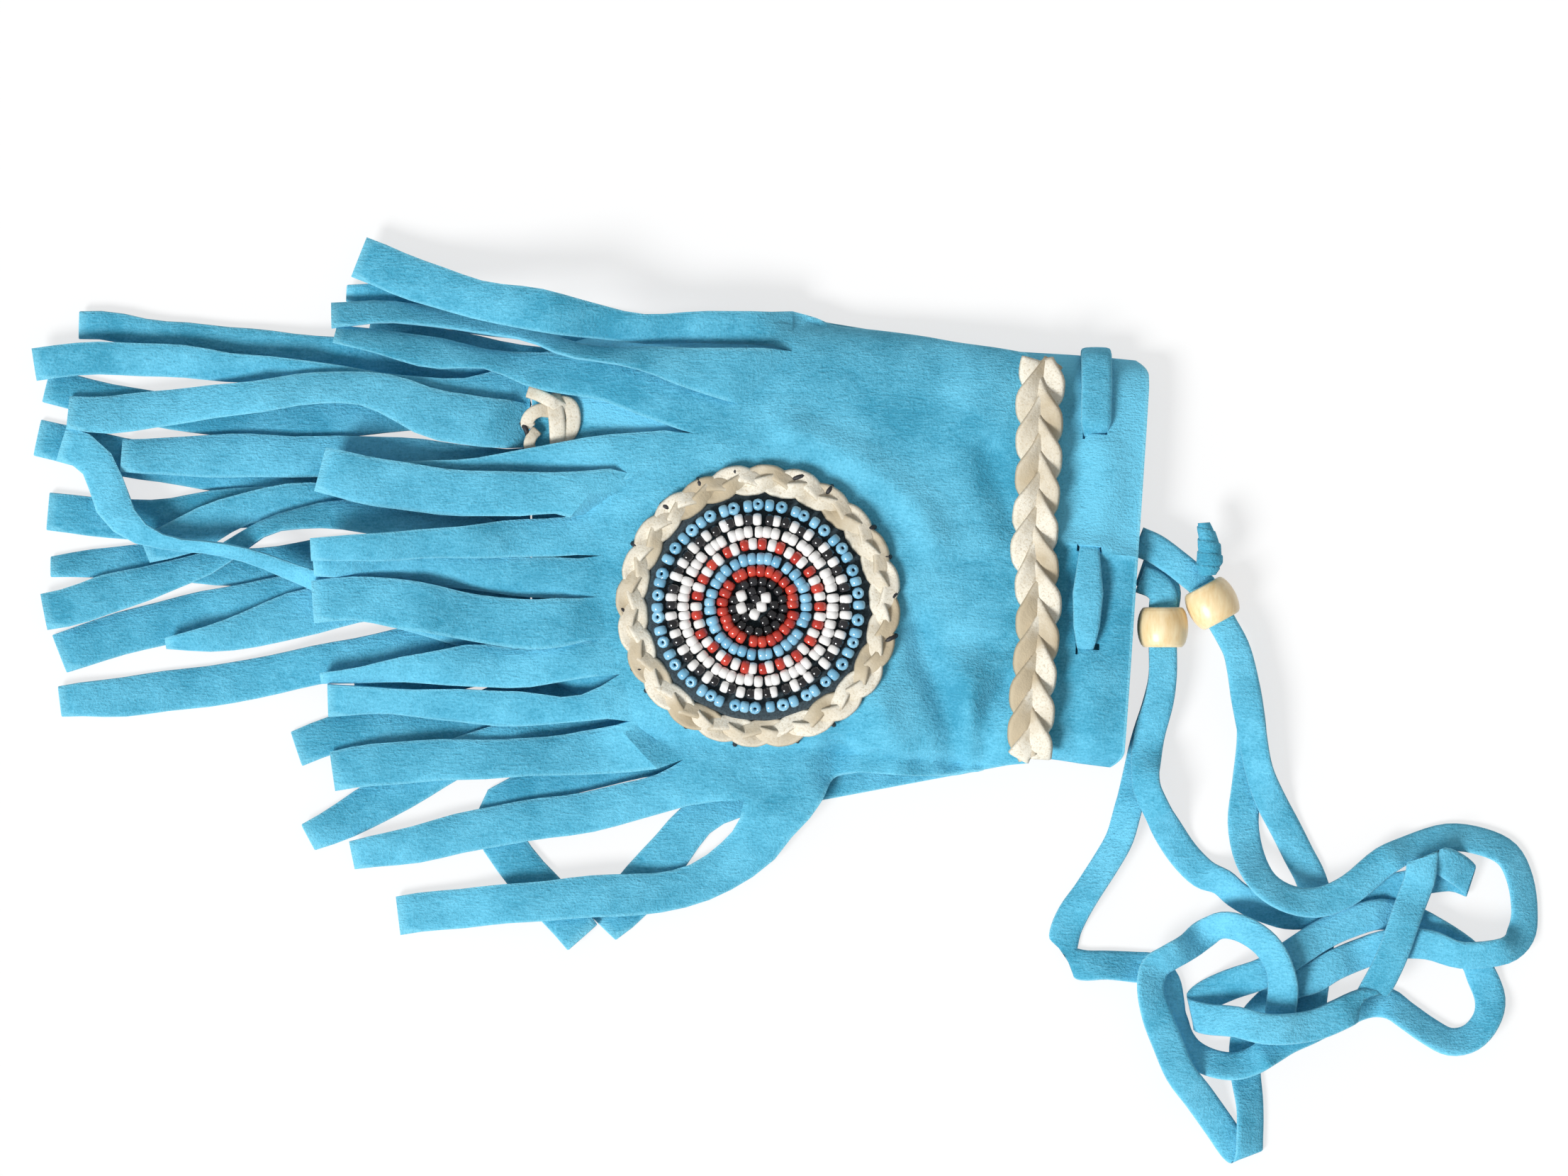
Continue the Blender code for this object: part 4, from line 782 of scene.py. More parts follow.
def fringed_sheet(name, slits, edges, height, fingers, nap=()):
    """One piece of suede: an uncut panel and a strip hanging from between each two slit ends.

    edges are the panel's far, top and low edges, height gives its face at x, y, and fingers maps a slit
    to the strip's stations and the heights of its underside. nap holds bands of painted light and shade
    that stand also for paler and darker nap; the attribute tint carries them.
    The attribute edge is 1 at the outer edges and 0 within, and along the slits' side.
    """
    ends = traced(slits)
    shares = np.arange(STRIP_ROWS)[:, None] / STRIP_ROWS
    left = np.vstack([a + (b - a) * shares for a, b in zip(ends, ends[1:])] + [ends[-1:]])
    far, top, low = edges(len(left))
    plan = patch(left, far, top, low)
    grid = np.dstack([plan, height(plan[..., 0], plan[..., 1])])
    index = numbered(grid)
    points, faces = [grid.reshape(-1, 3)], [quads(index)]
    outer = np.zeros(index.shape)
    outer[0], outer[-1], outer[:, -1] = 1.0, 1.0, 1.0
    edge = [outer.ravel()]
    # Painted light and shade of the panel, with its paler and darker nap, held in the tint attribute
    tint = [(0.5 + bells(plan[..., 0], plan[..., 1], nap)).ravel()]
    count = index.size
    for slit, (path, underside) in fingers.items():
        root = index[slit * STRIP_ROWS:(slit + 1) * STRIP_ROWS + 1, 0]
        ahead = unit(path[1, :2] - path[0, :2])
        slant = 0.5 * float(ahead @ (plan[slit * STRIP_ROWS, 0] - plan[(slit + 1) * STRIP_ROWS, 0]))
        strip = strip_grid(path, underside, slit, slant)[1:]
        own = numbered(strip, count)
        points.append(strip.reshape(-1, 3))
        faces.append(quads(np.vstack([root, own]).T[:, ::-1]))
        rim = np.tile(np.abs(np.linspace(-1, 1, STRIP_ROWS + 1)) ** 6, (len(strip), 1))
        rim[-1] = 1.0
        edge.append(rim.ravel())
        # Near its root a strip keeps the panel's painted light and shade; farther out it takes its own
        # painted light, shade and nap
        fade = ramp(run_of(strip[:, 0, :2]), 0.0, 30.0)[:, None]
        shade = bells(strip[..., 0], strip[..., 1], nap) * (1 - fade) + (STRIP_NAP_AND_LIGHT[name][slit] - 0.5) * fade
        tint.append((0.5 + shade).ravel())
        count += own.size
    made = piece(name, np.vstack(points), np.vstack(faces), [suede], "turquoise_suede", outwards=False,
                 edge=np.concatenate(edge), tint=np.concatenate(tint))
    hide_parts(name)
    thicken(made, rounding=0.28)
    return made


def strip_grid(path, underside, seed, slant):
    """Face of a strip: rows along it of points from its upper edge in the drawing to its lower one.

    The rows start as slanted as the line between the two slit ends and turn square within two widths.
    """
    direction = along_line(path[:, :2])
    across = np.column_stack([direction[:, 1], -direction[:, 0]])
    s = np.linspace(1.0, -1.0, STRIP_ROWS + 1)[None, :]
    run = run_of(path[:, :2])[:, None]
    wander = 0.22 * np.sin(run / 7.0 + 1.7 * seed) + 0.12 * np.sin(run / 3.1 + 2.9 * seed)
    out = (s * (path[:, 2:3] / 2) + wander)[..., None]
    skew = (s * slant * np.exp(-run / 14.0))[..., None]
    plan = path[:, None, :2] + across[:, None] * out + direction[:, None] * skew
    turn = np.sin(run / 29.0 + 2.3 * seed)
    side = (1.0 if seed % 2 == 0 else -1.0) * np.sign(np.cos(0.9 * seed) + 0.2)
    lift = path[:, 5:6] * (0.5 + 0.5 * side * s)
    curl = 0.5 * (1 - s ** 2) * (0.6 + 0.4 * turn) - 0.3 * np.abs(s) ** 6
    return np.dstack([plan, underside[:, None] + SUEDE + lift + curl])


def straight(far_x, y_top, y_low, slits, columns):
    """Straight edges of a panel between its first and last slit and two far corners in drawing units."""
    high, low, first, last = traced([(far_x, y_top), (far_x, y_low), slits[0], slits[-1]])
    return lambda rows: (evenly(high, low, rows), evenly(first, high, columns), evenly(last, low, columns))


def front_edges(rows):
    """The front panel's edge along the braid, and its two traced edges."""
    far = traced([(1450, y) for y in np.linspace(500, 1076, rows)])
    return far, border(FRONT_TOP_EDGE, PANEL_COLUMNS), border(FRONT_LOW_EDGE, PANEL_COLUMNS)


def fringe():
    """The fringed sheets, their strips laid over one another from the table up."""
    groups = (("back_skirt", BACK_SLITS, BACK_STRIPS),
              ("tail_fringe_lower", TAIL_SLITS, LOWER_TAIL_STRIPS),
              ("tail_fringe_upper", TAIL_SLITS, UPPER_TAIL_STRIPS),
              ("front_skirt", FRONT_SLITS, FRONT_STRIPS))
    named, paths = [], []
    for level, (group, slits, strips) in enumerate(groups):
        for order, (slit, stations) in enumerate(strips.items()):
            path = strip_path(slits, slit, stations, 20 * level + order, LEAN_SHARES[group])
            if group == "front_skirt":
                path[:, 4] = [clear_of_pouch(x, y, width / 2) for x, y, width in path[:, :3]]
                path[0, 4] = skirt_top(*path[0, :2]) - SUEDE
            if group in TAIL_BASE:
                path[0, 4] = TAIL_BASE[group]
            named.append((group, slit, level))
            paths.append(path)
    heights = settle(paths, [level for _, _, level in named], STRIP_SLOPE, clearance=0.6)
    fingers = {group: {} for group, _, _ in groups}
    for (group, slit, _), path, height in zip(named, paths, heights):
        fingers[group][slit] = (path, eased(height, path[:, 4]))
    front = fringed_sheet("front_skirt", FRONT_SLITS, front_edges, lambda x, y: skirt_top(x, y) + folds(x, y),
                          fingers["front_skirt"], NAP_AND_LIGHT_BANDS)
    back = fringed_sheet("back_skirt", BACK_SLITS, straight(1450, 502, 1074, BACK_SLITS, 40),
                         lambda x, y: np.full_like(x, SUEDE), fingers["back_skirt"])
    tails = [fringed_sheet(name, TAIL_SLITS, straight(748.5, 506, 944, TAIL_SLITS, 3),
                           lambda x, y, base=base: np.full_like(x, base + SUEDE), fingers[name])
             for name, base in TAIL_BASE.items()]
    return front, back, tails


def band(name, centre, across, up, width, thickness, finish, slot, crown=0.18):
    """A lace along a line of points: a soft-edged flat section, closed at both ends.

    across and up are unit directions at each point. The section's edge bulges as (1 - |u| to the 8th)
    to the half, and its middle stands crown millimetres proud.
    """
    u = np.concatenate([crowded(-1, 1, BAND_TOP), crowded(1, -1, BAND_LOW + 2)[1:-1]])
    side = np.concatenate([np.ones(BAND_TOP), -np.ones(BAND_LOW)])
    thick = side * thickness / 2 * np.sqrt(np.clip(1 - np.abs(u) ** 8, 0.0, 1.0)) + crown * (1 - u ** 2)
    points = (centre[:, None] + across[:, None] * (u[None, :, None] * np.reshape(width, (-1, 1, 1)) / 2)
              + up[:, None] * thick[None, :, None])
    index = numbered(points)
    faces = quads(index, close_columns=True).tolist()
    for ring in index[[0, -1]]:
        upper = ring[:BAND_TOP]
        lower = np.concatenate([ring[:1], ring[BAND_TOP:][::-1], ring[BAND_TOP - 1:BAND_TOP]])
        faces += np.column_stack([upper[:-1], upper[1:], lower[1:], lower[:-1]])[1:-1].tolist()
    for corner in ([0, 1, -1], [BAND_TOP - 2, BAND_TOP - 1, BAND_TOP]):
        faces += index[[0, -1]][:, corner].tolist()
    rim = np.tile(np.abs(u) ** 5, (len(points), 1))
    rim[0], rim[-1] = 1.0, 1.0
    tint = np.tile(0.5 + 0.42 * np.sin(run_of(centre) / 11.0)[:, None], (1, len(u)))
    return piece(name, points, faces, [finish], slot, edge=rim, tint=tint)


def lace_line(stretches, turns, leans):
    """Fine stations of a free lace: x, y, width, rank, floor, rise, and the unit direction across it.

    turns holds the points where the lace is folded over, and leans a share of its width at points where
    it stands partly on edge. Between two points the lace has the lower of their ranks.
    """
    given = np.array([(x, y, rank, height[0] if height else 0.0)
                      for rank, points in stretches for x, y, *height in points])
    plan = spline(given[:, :2], LACE_SPAN)
    marks = np.arange(len(plan)) / LACE_SPAN
    whole = marks.astype(int)
    after = np.minimum(whole + 1, len(given) - 1)
    rank = np.where(marks == whole, given[whole, 2], np.minimum(given[whole, 2], given[after, 2]))
    number = np.arange(len(given))
    floor = np.interp(marks, number, given[:, 3])
    share = softened(np.interp(marks, number, [leans.get(at, 1.0) for at in number]), 2)
    away = np.minimum(*(np.hypot(plan[:, 0] - bead[0], plan[:, 1] - bead[1]) for bead in (BEAD_1, BEAD_2)))
    width = LACE_WIDTH_IN_BEAD + (LACE_WIDTH - LACE_WIDTH_IN_BEAD) * ramp(away, 13.0, 10.0)
    direction = along_line(plan)
    across = np.column_stack([-direction[:, 1], direction[:, 0]])
    for at in turns:
        across[at * LACE_SPAN:] *= -1
    for at in turns:
        begin, end = (at - 1) * LACE_SPAN, (at + 1) * LACE_SPAN
        across[begin:end + 1] = evenly(across[begin], across[end], end - begin + 1)
    across = unit(softened(across, 2))
    rise = width * np.sqrt(np.clip(1 - share ** 2, 0.0, 1.0)) * 0.75
    rise = np.minimum(softened(rise, 2), LACE_RISE)
    plan_width = np.sqrt(np.maximum(width ** 2 - rise ** 2, 4.0))
    return np.column_stack([plan, plan_width, rank, floor, rise]), across


def laces():
    """The two free laces, each a loop that leaves the mouth, passes its bead and comes back."""
    lines = [lace_line(LACE_A, LACE_A_TURNS, LACE_A_LEANS), lace_line(LACE_B, LACE_B_TURNS, LACE_B_LEANS)]
    heights = settle([path for path, _ in lines], (2, 1), LACE_SLOPE, clearance=0.1)
    made = []
    for name, (path, level), height in zip(("lace_loop_2", "lace_loop_1"), lines, heights):
        rise = path[:, 5]
        centre = np.column_stack([path[:, :2], eased(height, path[:, 4]) + SUEDE / 2 + 0.5 * rise])
        width = np.hypot(path[:, 2], rise)
        tilt = rise / width
        across = unit(np.column_stack([level * np.sqrt(1 - tilt ** 2)[:, None], tilt * LACE_TILT[name]]))
        up = unit(UP - across * across[:, 2:])
        lace = band(name, centre, across, up, width, SUEDE, lace_suede, "turquoise_lace")
        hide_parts(name)
        made.append((lace, centre))
    return made


def cuff_folds(x, y):
    """Soft swells of the cuff between the drawstring's slits."""
    return (0.15 * waves(x, y, size=17.0, seed=4.0) + bells(x, y, CUFF_SWELLS)) * ramp(x, 98.0, 8.0)


def cuff_lip(x):
    """The y of the slanting fold across the cuff, above which the cuff is painted paler as painted light."""
    return 11.3 - 0.25 * (x - 110.7)


def pouch_loop(x, front, back):
    """Closed loop of the pouch at x: arched front, rounded side seams and a flat back.

    Under the skirt the front sinks with the skirt's folds.
    """
    s = crowded(-1, 1, front)
    y = pouch_centre(x) + s * pouch_half_width(x)
    level = np.full_like(y, x)
    top = pouch_top(x, y) + cuff_folds(level, y)
    top = top + ramp(x, 108.0, -4.0) * np.minimum(folds(level, y), 0.0)
    tuck = 1 - np.abs(s) ** 24
    top = POUCH_BASE + SEAM_HEIGHT * (0.45 + 0.55 * tuck) + (top - POUCH_BASE - SEAM_HEIGHT)
    y_back = pouch_centre(x) + crowded(1, -1, back + 2)[1:-1] * pouch_half_width(x)
    low = np.full_like(y_back, POUCH_BASE + 0.02)
    return np.vstack([np.column_stack([y, top]), np.column_stack([y_back, low])])


def inner_pouch():
    """Hollow pouch, closed at its bottom end and open at the mouth, with slits for the drawstring."""
    stations = np.concatenate([np.linspace(POUCH_LEFT, 96.0, 56)[:-1], np.linspace(96.0, POUCH_RIGHT, 60)])
    points = []
    for x in stations:
        loop = pouch_loop(x, front=91, back=41)
        side = np.abs(loop[:, 0] - pouch_centre(x)) / pouch_half_width(x)
        corner = 3.0 * ramp(x, 112.0, POUCH_RIGHT - 112.0) * ramp(side, 0.92, 0.08) ** 2
        shift = mouth_lean(x, loop[:, 0]) * (x > 90) - corner
        points.append(np.column_stack([np.full(len(loop), x) + shift, loop]))
    points = np.array(points)
    index = numbered(points)
    faces = quads(index, close_columns=True)
    middle = points.reshape(-1, 3)[faces].mean(axis=1)
    keep = np.ones(len(faces), bool)
    for x, y in CUFF_SLITS:
        inside = (np.abs(middle[:, 0] - x) < SLIT_LENGTH / 2) & (np.abs(middle[:, 1] - y) < SLIT_WIDTH / 2)
        keep &= ~(inside & (middle[:, 2] > 7.0))
    rim = np.zeros(points.shape[:2])
    rim[-2:] = 1.0
    # Painted light: the cuff is painted paler above its slanting fold, and the rest of the pouch a little
    # darker
    cuff_painted_light = 1.7 * ramp(points[..., 1], cuff_lip(points[..., 0]), 1.5)
    faces = faces[keep].tolist() + [index[0].tolist()]
    made = piece("inner_pouch", points, faces, [suede], "turquoise_suede", edge=rim, tint=0.1 + cuff_painted_light)
    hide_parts("inner_pouch")
    thicken(made, rounding=0.25)


def drawstring():
    """Lace woven through the cuff: over the top edge from behind, in and out of three slits.

    run gives y and how far the lace's near face stands off the cuff; past it the lace turns under the bag.
    """
    run = ((-21.0, -2.35), (-16.6, -2.35), (-13.4, -0.9), (-11.0, 0.6), (-7.0, 1.5), (0.0, 1.9), (6.4, 1.3),
           (10.4, 0.5), (12.4, -0.9), (14.8, -2.35), (20.0, -2.35), (28.0, -2.35), (34.3, -2.3),
           (36.8, -0.9), (39.4, 0.5), (43.0, 0.8), (49.0, 0.8))
    line = []
    for y, lift in run:
        x = float(np.interp(y, (-14.0, 12.0, 37.0, 52.0), (115.6, 116.6, 118.0, 118.4)))
        line.append((x, y, float(pouch_top(x, y)) + lift + math.copysign(SUEDE / 2, lift)))
    edge = float(pouch_centre(118.3) + pouch_half_width(118.3))
    top = POUCH_BASE + SEAM_HEIGHT
    line += [(118.3, edge + out, z) for out, z in (
        (-1.2, top + 4.4), (0.7, top + 2.2), (1.25, top), (1.25, 2.6), (0.5, 1.0), (-1.0, SUEDE / 2),
        (-5.0, SUEDE / 2), (-14.0, SUEDE / 2))]
    centre = spline(line, 5)
    along = along_line(centre)
    across = unit(np.array([[1.0, 0.0, 0.0]]) - along * along[:, :1])
    up = unit(np.cross(across, along))
    up = np.where((up @ np.array([0, 0.3, 1.0]))[:, None] < 0, -up, up)
    for k in range(1, len(up)):
        if up[k] @ up[k - 1] < 0:
            up[k] = -up[k]
    width = np.interp(centre[:, 1], (-14, -8, 0, 8, 13, 34, 40, 60), (3.6, 6.2, 7.2, 5.2, 4.2, 4.4, 7.2, 7.2))
    width = np.where(centre[:, 2] < 7.0, 7.0, width)
    made = band("drawstring", centre, across, up, width, SUEDE, lace_suede, "turquoise_lace")
    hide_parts("drawstring")


def plait(name, middle, sideways, start, closed, period, reach, width, thickness, lift_wave):
    """Flat plait of three laces along a line on the object.

    Strand k crosses the line in straight runs, reach times a flattened triangle wave of the angle a, and
    goes over and under as lift_wave * sin(2a), a being the share of a period run so far plus k thirds of a
    turn. Each half turn is one lobe, with its own size and tone. middle(s) gives the line's point for a
    distance s, sideways(s) the direction across it, and start the last distance. A closed plait's length
    is a whole number of periods, so each strand meets itself.
    """
    s = np.linspace(0.0, start, int(round(start / PLAIT_STEP)) + 1)
    lobes = int(round(2 * start / period))
    half = np.linspace(-1, 1, PLAIT_TOP)
    u = np.concatenate([half, half[::-1][1:-1]])
    arch = np.sqrt(np.clip(1 - np.abs(half) ** 8, 0.0, 1.0))
    arch = np.concatenate([arch, -arch[1:-1]])
    rings, faces, edges, tints, count = [], [], [], [], 0
    for strand in range(3):
        a = 2 * math.pi * (s / period + strand / 3)
        lobe = np.floor(a / math.pi + 1e-6) % lobes + 5 * strand
        chance = [np.modf(np.abs(np.sin(lobe * spin + 1.3)) * 431.7)[0] - 0.5 for spin in (12.9, 7.7, 4.1)]
        triangle = np.arcsin(np.sin(a)) * 2 / math.pi
        out = reach * np.clip(1.4 * triangle, -1.0, 1.0) * (1 + 0.22 * chance[0])
        out = np.convolve(np.pad(out, 1, mode="wrap" if closed else "edge"), (0.2, 0.6, 0.2), "valid")
        line = middle(s) + sideways(s) * out[:, None] + UP * (lift_wave * np.sin(2 * a))[:, None]
        along = along_line(line)
        if closed:
            along[0] = along[-1] = unit(along[0] + along[-1])
        across = unit(unit(np.cross(UP, along)) + UP * (0.5 * np.cos(a))[:, None])
        normal = unit(np.cross(along, across))
        wide = (width * (1 + 0.2 * chance[1] * np.abs(np.sin(a))))[:, None, None]
        ring = (line[:, None] + across[:, None] * (u[None, :, None] * wide / 2)
                + normal[:, None] * (arch[None, :, None] * thickness / 2))
        if closed:
            ring = ring[:-1]
        index = numbered(ring, count)
        count += index.size
        rings.append(ring.reshape(-1, 3))
        faces += quads(index, close_rows=True, close_columns=True).tolist() if closed else capped(index)
        edges.append(np.tile(np.abs(u) ** 6, len(ring)))
        tone = 0.5 + chance[2] * np.sqrt(np.abs(np.sin(a)))
        tints.append(np.repeat(tone[:len(ring)], len(u)))
    made = piece(name, np.vstack(rings), faces, [buff], "tan_lace", edge=np.concatenate(edges),
                 tint=np.concatenate(tints))
    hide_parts(name)


def rosette_braid():
    """The plait round the rosette, eight periods of it."""
    around = 2 * math.pi * BRAID_RADIUS

    def middle(s):
        x, y = np.array(ROSETTE)[:, None] + BRAID_RADIUS * sideways(s)[:, :2].T
        return np.column_stack([x, y, skirt_top(x, y) + GAP + 0.5 + BRAID_HEIGHT / 2])

    def sideways(s):
        angle = s / BRAID_RADIUS
        return np.column_stack([np.cos(angle), np.sin(angle), 0 * angle])

    plait("rosette_braid", middle, sideways, around, closed=True, period=around / 8, reach=1.7, width=3.9,
          thickness=1.0, lift_wave=0.5)


def mouth_braid():
    """The straight plait over the skirt's edge."""
    line = paced(traced(MOUTH_BRAID_LINE), 1.5)
    run = run_of(line)

    def on_line(s):
        return np.interp(s, run, line[:, 0]), np.interp(s, run, line[:, 1])

    def middle(s):
        x, y = on_line(s)
        return np.column_stack([x, y, skirt_top(x, y) + GAP + 1.6])

    def sideways(s):
        along = along_line(np.column_stack(on_line(s)))
        return np.column_stack([-along[:, 1], along[:, 0], 0 * s])

    plait("mouth_braid", middle, sideways, run[-1], closed=False, period=25.5, reach=2.7, width=5.3,
          thickness=1.1, lift_wave=0.6)


def bottom_lacing():
    """Buff lace knotted over the seam that holds the long fringe to the pouch: strap, strand and loops."""
    base = float(pouch_top(*from_drawing(778, 592))) + GAP + 0.35
    for number, (width, line) in enumerate(KNOT_BANDS):
        rows = spline(line, 5)
        centre = np.column_stack([*from_drawing(rows[:, 0], rows[:, 1]), base + rows[:, 2]])
        along = along_line(centre)
        across = unit(np.cross(UP, along))
        up = unit(np.cross(along, across))
        band(f"lacing_{number + 1}", centre, across, up, width, thickness=0.9, finish=buff,
                         slot="tan_lace", crown=0.1)
    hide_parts("bottom_lacing")


def bead_shape(sides, rows, bore):
    """Points and faces of a glass bead about its x axis, 1 in radius and length: a rounded ring."""
    profile = []
    for k in range(rows):
        t = math.pi * k / (rows - 1)
        squared = abs(math.cos(t)) ** 0.75 * math.copysign(1, math.cos(t))
        profile.append((-squared / 2, bore + (1.0 - bore) * math.sin(t) ** 0.6))
    angle = 2 * math.pi * np.arange(sides) / sides
    points = np.array([[(t, r * math.cos(a), r * math.sin(a)) for t, r in profile] for a in angle])
    return points.reshape(-1, 3), quads(numbered(points), close_rows=True, close_columns=True)


def place_beads(name, places, slot, nodes):
    """One mesh of many beads: each place is a point, the hole's direction, radius, length and finish."""
    points, faces, shades, paints, kinds = [], [], [], [], []
    shape, face = bead_shape(sides=10, rows=7, bore=0.3)
    random = np.random.default_rng(7)
    for number, (middle, way, radius, length, paint) in enumerate(places):
        way = unit(np.asarray(way, float))
        side = unit(np.cross(way, [0.13, 0.21, 0.97] if abs(way[2]) < 0.9 else [1.0, 0.0, 0.0]))
        body = shape * np.array([length, radius, radius])
        points.append(middle + body @ np.array([way, side, np.cross(way, side)]))
        faces.append(face + len(shape) * number)
        shades.append(np.full(len(shape), random.random()))
        if paint not in kinds:
            kinds.append(paint)
        paints.append(np.full(len(face), kinds.index(paint)))
    made = piece(name, np.vstack(points), np.vstack(faces), [glass[kind] for kind in kinds], slot,
                 shade=np.concatenate(shades))
    made.data.polygons.foreach_set("material_index", np.concatenate(paints).astype(np.int32))
    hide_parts(*nodes)


def on_rosette(angle, reach):
    """x and y at an angle and a distance from the rosette's middle."""
    return ROSETTE[0] + reach * math.cos(angle), ROSETTE[1] + reach * math.sin(angle)


def rosette_beads():
    """Seed beads couched in rings on the backing, the outermost alternately side-on and hole-up."""
    lift = 2 * GAP + BACKING_THICKNESS + SEED_RADIUS - 0.1
    random = np.random.default_rng(3)

    def on_backing(x, y, raised=0.0):
        return np.array([x, y, float(skirt_top(x, y)) + lift + raised])

    white = traced(CLUSTER_WHITE)
    field = [(on_backing(mx, my, 0.15), (math.cos(x), math.sin(x), 0.0), 1.4, 2.45, "white")
             for (x, _), (mx, my) in zip(CLUSTER_WHITE, white)]
    for ring, count in ((0.0, 1), (1.9, 5), (3.8, 10), (5.95, 17)):
        for k in range(count):
            angle = 2 * math.pi * (k + 0.3 * ring) / count
            spot = on_rosette(angle, ring)
            if np.hypot(*(white - spot).T).min() > 1.9:
                way = (-math.sin(angle), math.cos(angle), 0.0)
                field.append((on_backing(*spot, -0.2), way, 1.3, 2.1, "black"))
    place_beads("bead_cluster", field, "white_beads", ("bead_cluster_centre", "bead_ring_1"))
    for number, radius, pattern, slot in RINGS:
        pitch = EDGE_PITCH if number == 7 else SEED_PITCH
        count = len(pattern) * round(2 * math.pi * radius / pitch / len(pattern))
        places = []
        for k in range(count):
            angle = 2 * math.pi * (k + 0.12 * random.standard_normal()) / count
            x, y = on_rosette(angle, radius + 0.10 * random.standard_normal())
            size = SEED_RADIUS * (1 + 0.04 * random.standard_normal())
            way = (-math.sin(angle), math.cos(angle), 0.05 * random.standard_normal())
            long = SEED_LENGTH * 0.94
            if number == 7 and k % 2:
                way, long = (0.35 * math.cos(angle), 0.35 * math.sin(angle), 1.0), 1.9
            places.append((on_backing(x, y), way, size, long, pattern[k % len(pattern)]))
        place_beads(f"bead_ring_{number}", places, slot, (f"bead_ring_{number}",))


def rosette_backing():
    """Felt disc under the beads, its edge a little uneven."""
    sectors, rings = 120, 24
    angle = np.arange(sectors) * 2 * math.pi / sectors
    radius = (np.linspace(0.02, 1.0, rings)[:, None] * BACKING_RADIUS
              * (1 + 0.006 * np.sin(7 * angle) + 0.004 * np.sin(17 * angle + 1)))
    x = ROSETTE[0] + radius * np.cos(angle)
    y = ROSETTE[1] + radius * np.sin(angle)
    top = np.dstack([x, y, skirt_top(x, y) + GAP + BACKING_THICKNESS])
    grid = np.concatenate([top, (top - BACKING_THICKNESS * UP)[::-1]])
    made = piece("rosette_backing", grid, capped(numbered(grid)), [felt], "dark_backing")
    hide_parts("rosette_backing")


def whip_stitches():
    """Black thread over the rosette braid's outer edge, and a stitch in the bottom lacing: round threads."""
    lines = []
    random = np.random.default_rng(11)
    for k in range(STITCHES):
        angle = 2 * math.pi * (k + 0.18 * random.standard_normal()) / STITCHES
        lean = 0.035 * random.standard_normal()
        rows = []
        for out, rise in ((3.3, 0.1), (3.2, 0.9), (2.7, 1.7), (2.0, 1.8), (1.3, 1.2)):
            x, y = on_rosette(angle + 2.2 * lean * out / 3, BRAID_RADIUS + out)
            rows.append((x, y, float(skirt_top(x, y)) + GAP + rise))
        lines.append(rows)
    x, y = from_drawing(743, 606)
    base = float(pouch_top(x, y)) + 2.0
    lines.append([(x - 1, y + 1.5, base), (x, y, base + 0.9), (x + 0.5, y - 1.5, base + 0.2)])
    angle = 2 * math.pi * np.arange(8) / 8
    points, faces, count = [], [], 0
    for line in lines:
        centre = spline(line, 4)
        along = along_line(centre)
        side = unit(np.cross(along, [0.02, 0.03, 1.0]))
        ring = (centre[:, None] + side[:, None] * (np.cos(angle)[None, :, None] * THREAD_RADIUS)
                + np.cross(side, along)[:, None] * (np.sin(angle)[None, :, None] * THREAD_RADIUS))
        points.append(ring.reshape(-1, 3))
        faces += capped(numbered(ring, count))
        count += len(points[-1])
    piece("whip_stitches", np.vstack(points), faces, [thread_paint()], "dark_backing")


def wood_bead(name, profile, middle, axis, body):
    """A body turned about a level axis: profile is a closed loop of distance along and radius."""
    way = np.array([axis[0], axis[1], 0.0]) / math.hypot(*axis)
    side = np.array([-way[1], way[0], 0.0])
    angle = 2 * math.pi * np.arange(72) / 72
    spokes = np.cos(angle)[:, None] * side + np.sin(angle)[:, None] * UP
    points = (*middle, BEAD_HEIGHT) + way * profile[None, :, :1] + spokes[:, None] * profile[None, :, 1:]
    faces = quads(numbered(points), close_rows=True, close_columns=True)
    made = piece(name, points, faces, [wood], "turned_wood", body)
    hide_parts(name)
    return made


def wood_beads():
    """Two turned barrels with faint tool rings and softened rims, each bored through for a doubled lace."""
    half = BEAD_LENGTH / 2
    t = crowded(-1, 1, 41)
    bulge = (BEAD_RADIUS - BEAD_RIM_RADIUS) * np.clip(1 - t ** 2, 0, 1) ** 0.66
    radius = BEAD_RIM_RADIUS + bulge + 0.02 * np.sin(38 * t) - 0.15 * np.abs(t) ** 20
    bore = [(half - 0.05, BEAD_BORE + 0.25), (half - 0.4, BEAD_BORE), (0.0, BEAD_BORE - 0.03),
            (-half + 0.4, BEAD_BORE), (-half + 0.05, BEAD_BORE + 0.25)]
    profile = np.vstack([np.column_stack([t * half, radius]), bore])
    return (wood_bead("wood_bead_1", profile, BEAD_1, BEAD_1_AXIS, "bead_1"),
            wood_bead("wood_bead_2", profile, BEAD_2, BEAD_2_AXIS, "bead_2"))


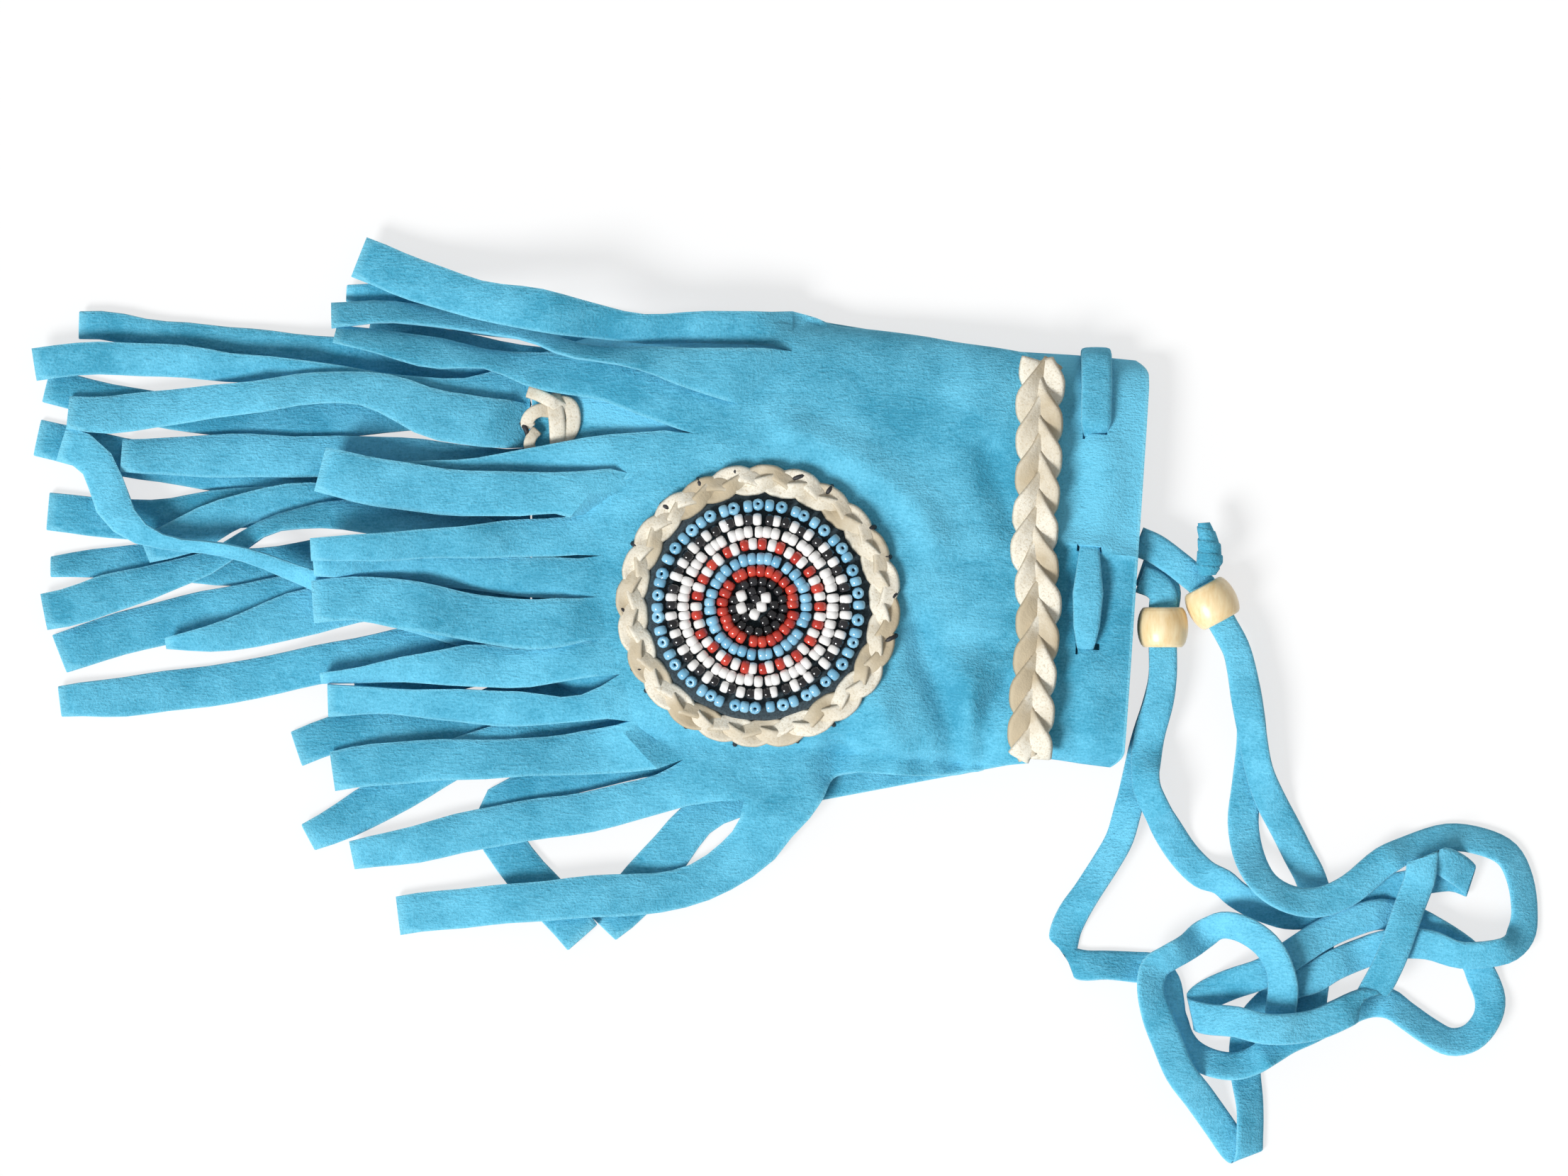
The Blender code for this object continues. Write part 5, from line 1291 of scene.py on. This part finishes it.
def rolled_end():
    """The lace's end rolled up on itself: a tapered roll whose edge winds round it as a shallow step."""
    length, rings = 12.4, 63
    start = np.array((*from_drawing(1701, 812), BEAD_HEIGHT + 3.4))
    level = unit(np.array((*from_drawing(1696, 742), start[2])) - start)
    side = np.array([-level[1], level[0], 0.0])
    t = np.concatenate([[0.0, 0.0], np.linspace(0.0, length, rings), [length, length]])
    inner = np.array([0.02, 0.55] + [1.0] * rings + [0.55, 0.02])
    radius = np.interp(t, (0.0, 2.8, 7.0, 10.5, length), (2.0, 3.0, 2.8, 2.1, 1.5)) * inner
    spread = np.interp(t, (0.0, 2.5, 5.5, 9.5, length), (1.0, 1.12, 1.0, 0.95, 1.0))
    angle = 2 * math.pi * np.arange(48) / 48
    wound = (t[:, None] / 2.9 + angle[None, :] / (2 * math.pi)) % 1.0
    reach = radius[:, None] + (0.34 * wound ** 0.8 - 0.26) * (inner[:, None] > 0.9)
    bow = -0.9 * np.sin(math.pi * t / length)
    out = bow[:, None] + spread[:, None] * reach * np.cos(angle)
    points = (start + (level - 0.1 * UP) * t[:, None, None] + side * out[..., None]
              + UP * (reach * np.sin(angle))[..., None])
    made = piece("rolled_lace_end", points, capped(numbered(points)), [lace_suede], "turquoise_lace",
                 edge=ramp(wound, 0.82, 0.18), tint=np.zeros(wound.shape))
    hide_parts("rolled_lace_end")
    return made


def camera():
    """Straight above the middle of the drawing, seeing exactly its frame at the table's level."""
    x, y = from_drawing(DRAWING_SIZE[0] / 2, DRAWING_SIZE[1] / 2)
    data = bpy.data.cameras.new("camera")
    data.sensor_width = SENSOR_WIDTH
    data.lens = SENSOR_WIDTH * CAMERA_HEIGHT / (DRAWING_SIZE[0] / UNITS_PER_MM * MM)
    made = placed("camera", data)
    made.location = (x * MM, y * MM, CAMERA_HEIGHT)
    bpy.context.scene.camera = made


def lights():
    """Even white surroundings and one soft key from the lower left of the drawing."""
    world = bpy.data.worlds.new("studio")
    bpy.context.scene.world = world
    world.use_nodes = True
    back = world.node_tree.nodes["Background"]
    back.inputs["Color"].default_value = (1.0, 1.0, 1.0, 1.0)
    back.inputs["Strength"].default_value = WORLD_LEVEL
    data = bpy.data.lights.new("key", "SUN")
    data.energy = KEY_LEVEL
    data.angle = math.radians(KEY_SPREAD)
    placed("key", data).rotation_euler = (0.0, math.radians(KEY_TILT), math.radians(KEY_TURN))
    bpy.context.scene.view_settings.view_transform = "Standard"


def floor():
    """White card a hair below the object."""
    mesh = bpy.data.meshes.new("floor")
    corners = ((-1, -1), (1, -1), (1, 1), (-1, 1))
    places = [(x * FLOOR_REACH, y * FLOOR_REACH, -FLOOR_DEPTH) for x, y in corners]
    mesh.from_pydata(places, [], [(0, 1, 2, 3)])
    mesh.materials.append(floor_paint())
    placed("floor", mesh)


camera()
lights()
floor()
suede = suede_paint("turquoise_suede", (0.05, 0.325, 0.49, 1), (0.165, 0.60, 0.83, 1),
                    (0.26, 0.70, 0.88, 1))
lace_suede = suede_paint("turquoise_lace", (0.06, 0.35, 0.52, 1), (0.18, 0.63, 0.87, 1),
                         (0.28, 0.72, 0.90, 1))
buff = plait_paint()
wood = wood_paint()
felt = felt_paint()
glass = {
    "red": bead_paint("red_glass", (0.42, 0.025, 0.015, 1), (0.62, 0.06, 0.035, 1)),
    "blue": bead_paint("light_blue_glass", (0.16, 0.42, 0.62, 1), (0.28, 0.58, 0.78, 1)),
    "white": bead_paint("white_glass", (0.80, 0.79, 0.77, 1), (0.93, 0.92, 0.91, 1)),
    "black": bead_paint("black_glass", (0.006, 0.006, 0.007, 1), (0.02, 0.02, 0.024, 1), 0.12),
}
roll = rolled_end()
bead_1, bead_2 = wood_beads()
free_laces = laces()
inner_pouch()
drawstring()
front, back, tails = fringe()
mouth_braid()
rosette_braid()
rosette_backing()
rosette_beads()
whip_stitches()
bottom_lacing()

for (lace, centre), long, others in zip(free_laces, LACE_LENGTHS, ((bead_2, roll), (bead_1,))):
    tuple(centre[0] * MM)
    (centre * MM).tolist()
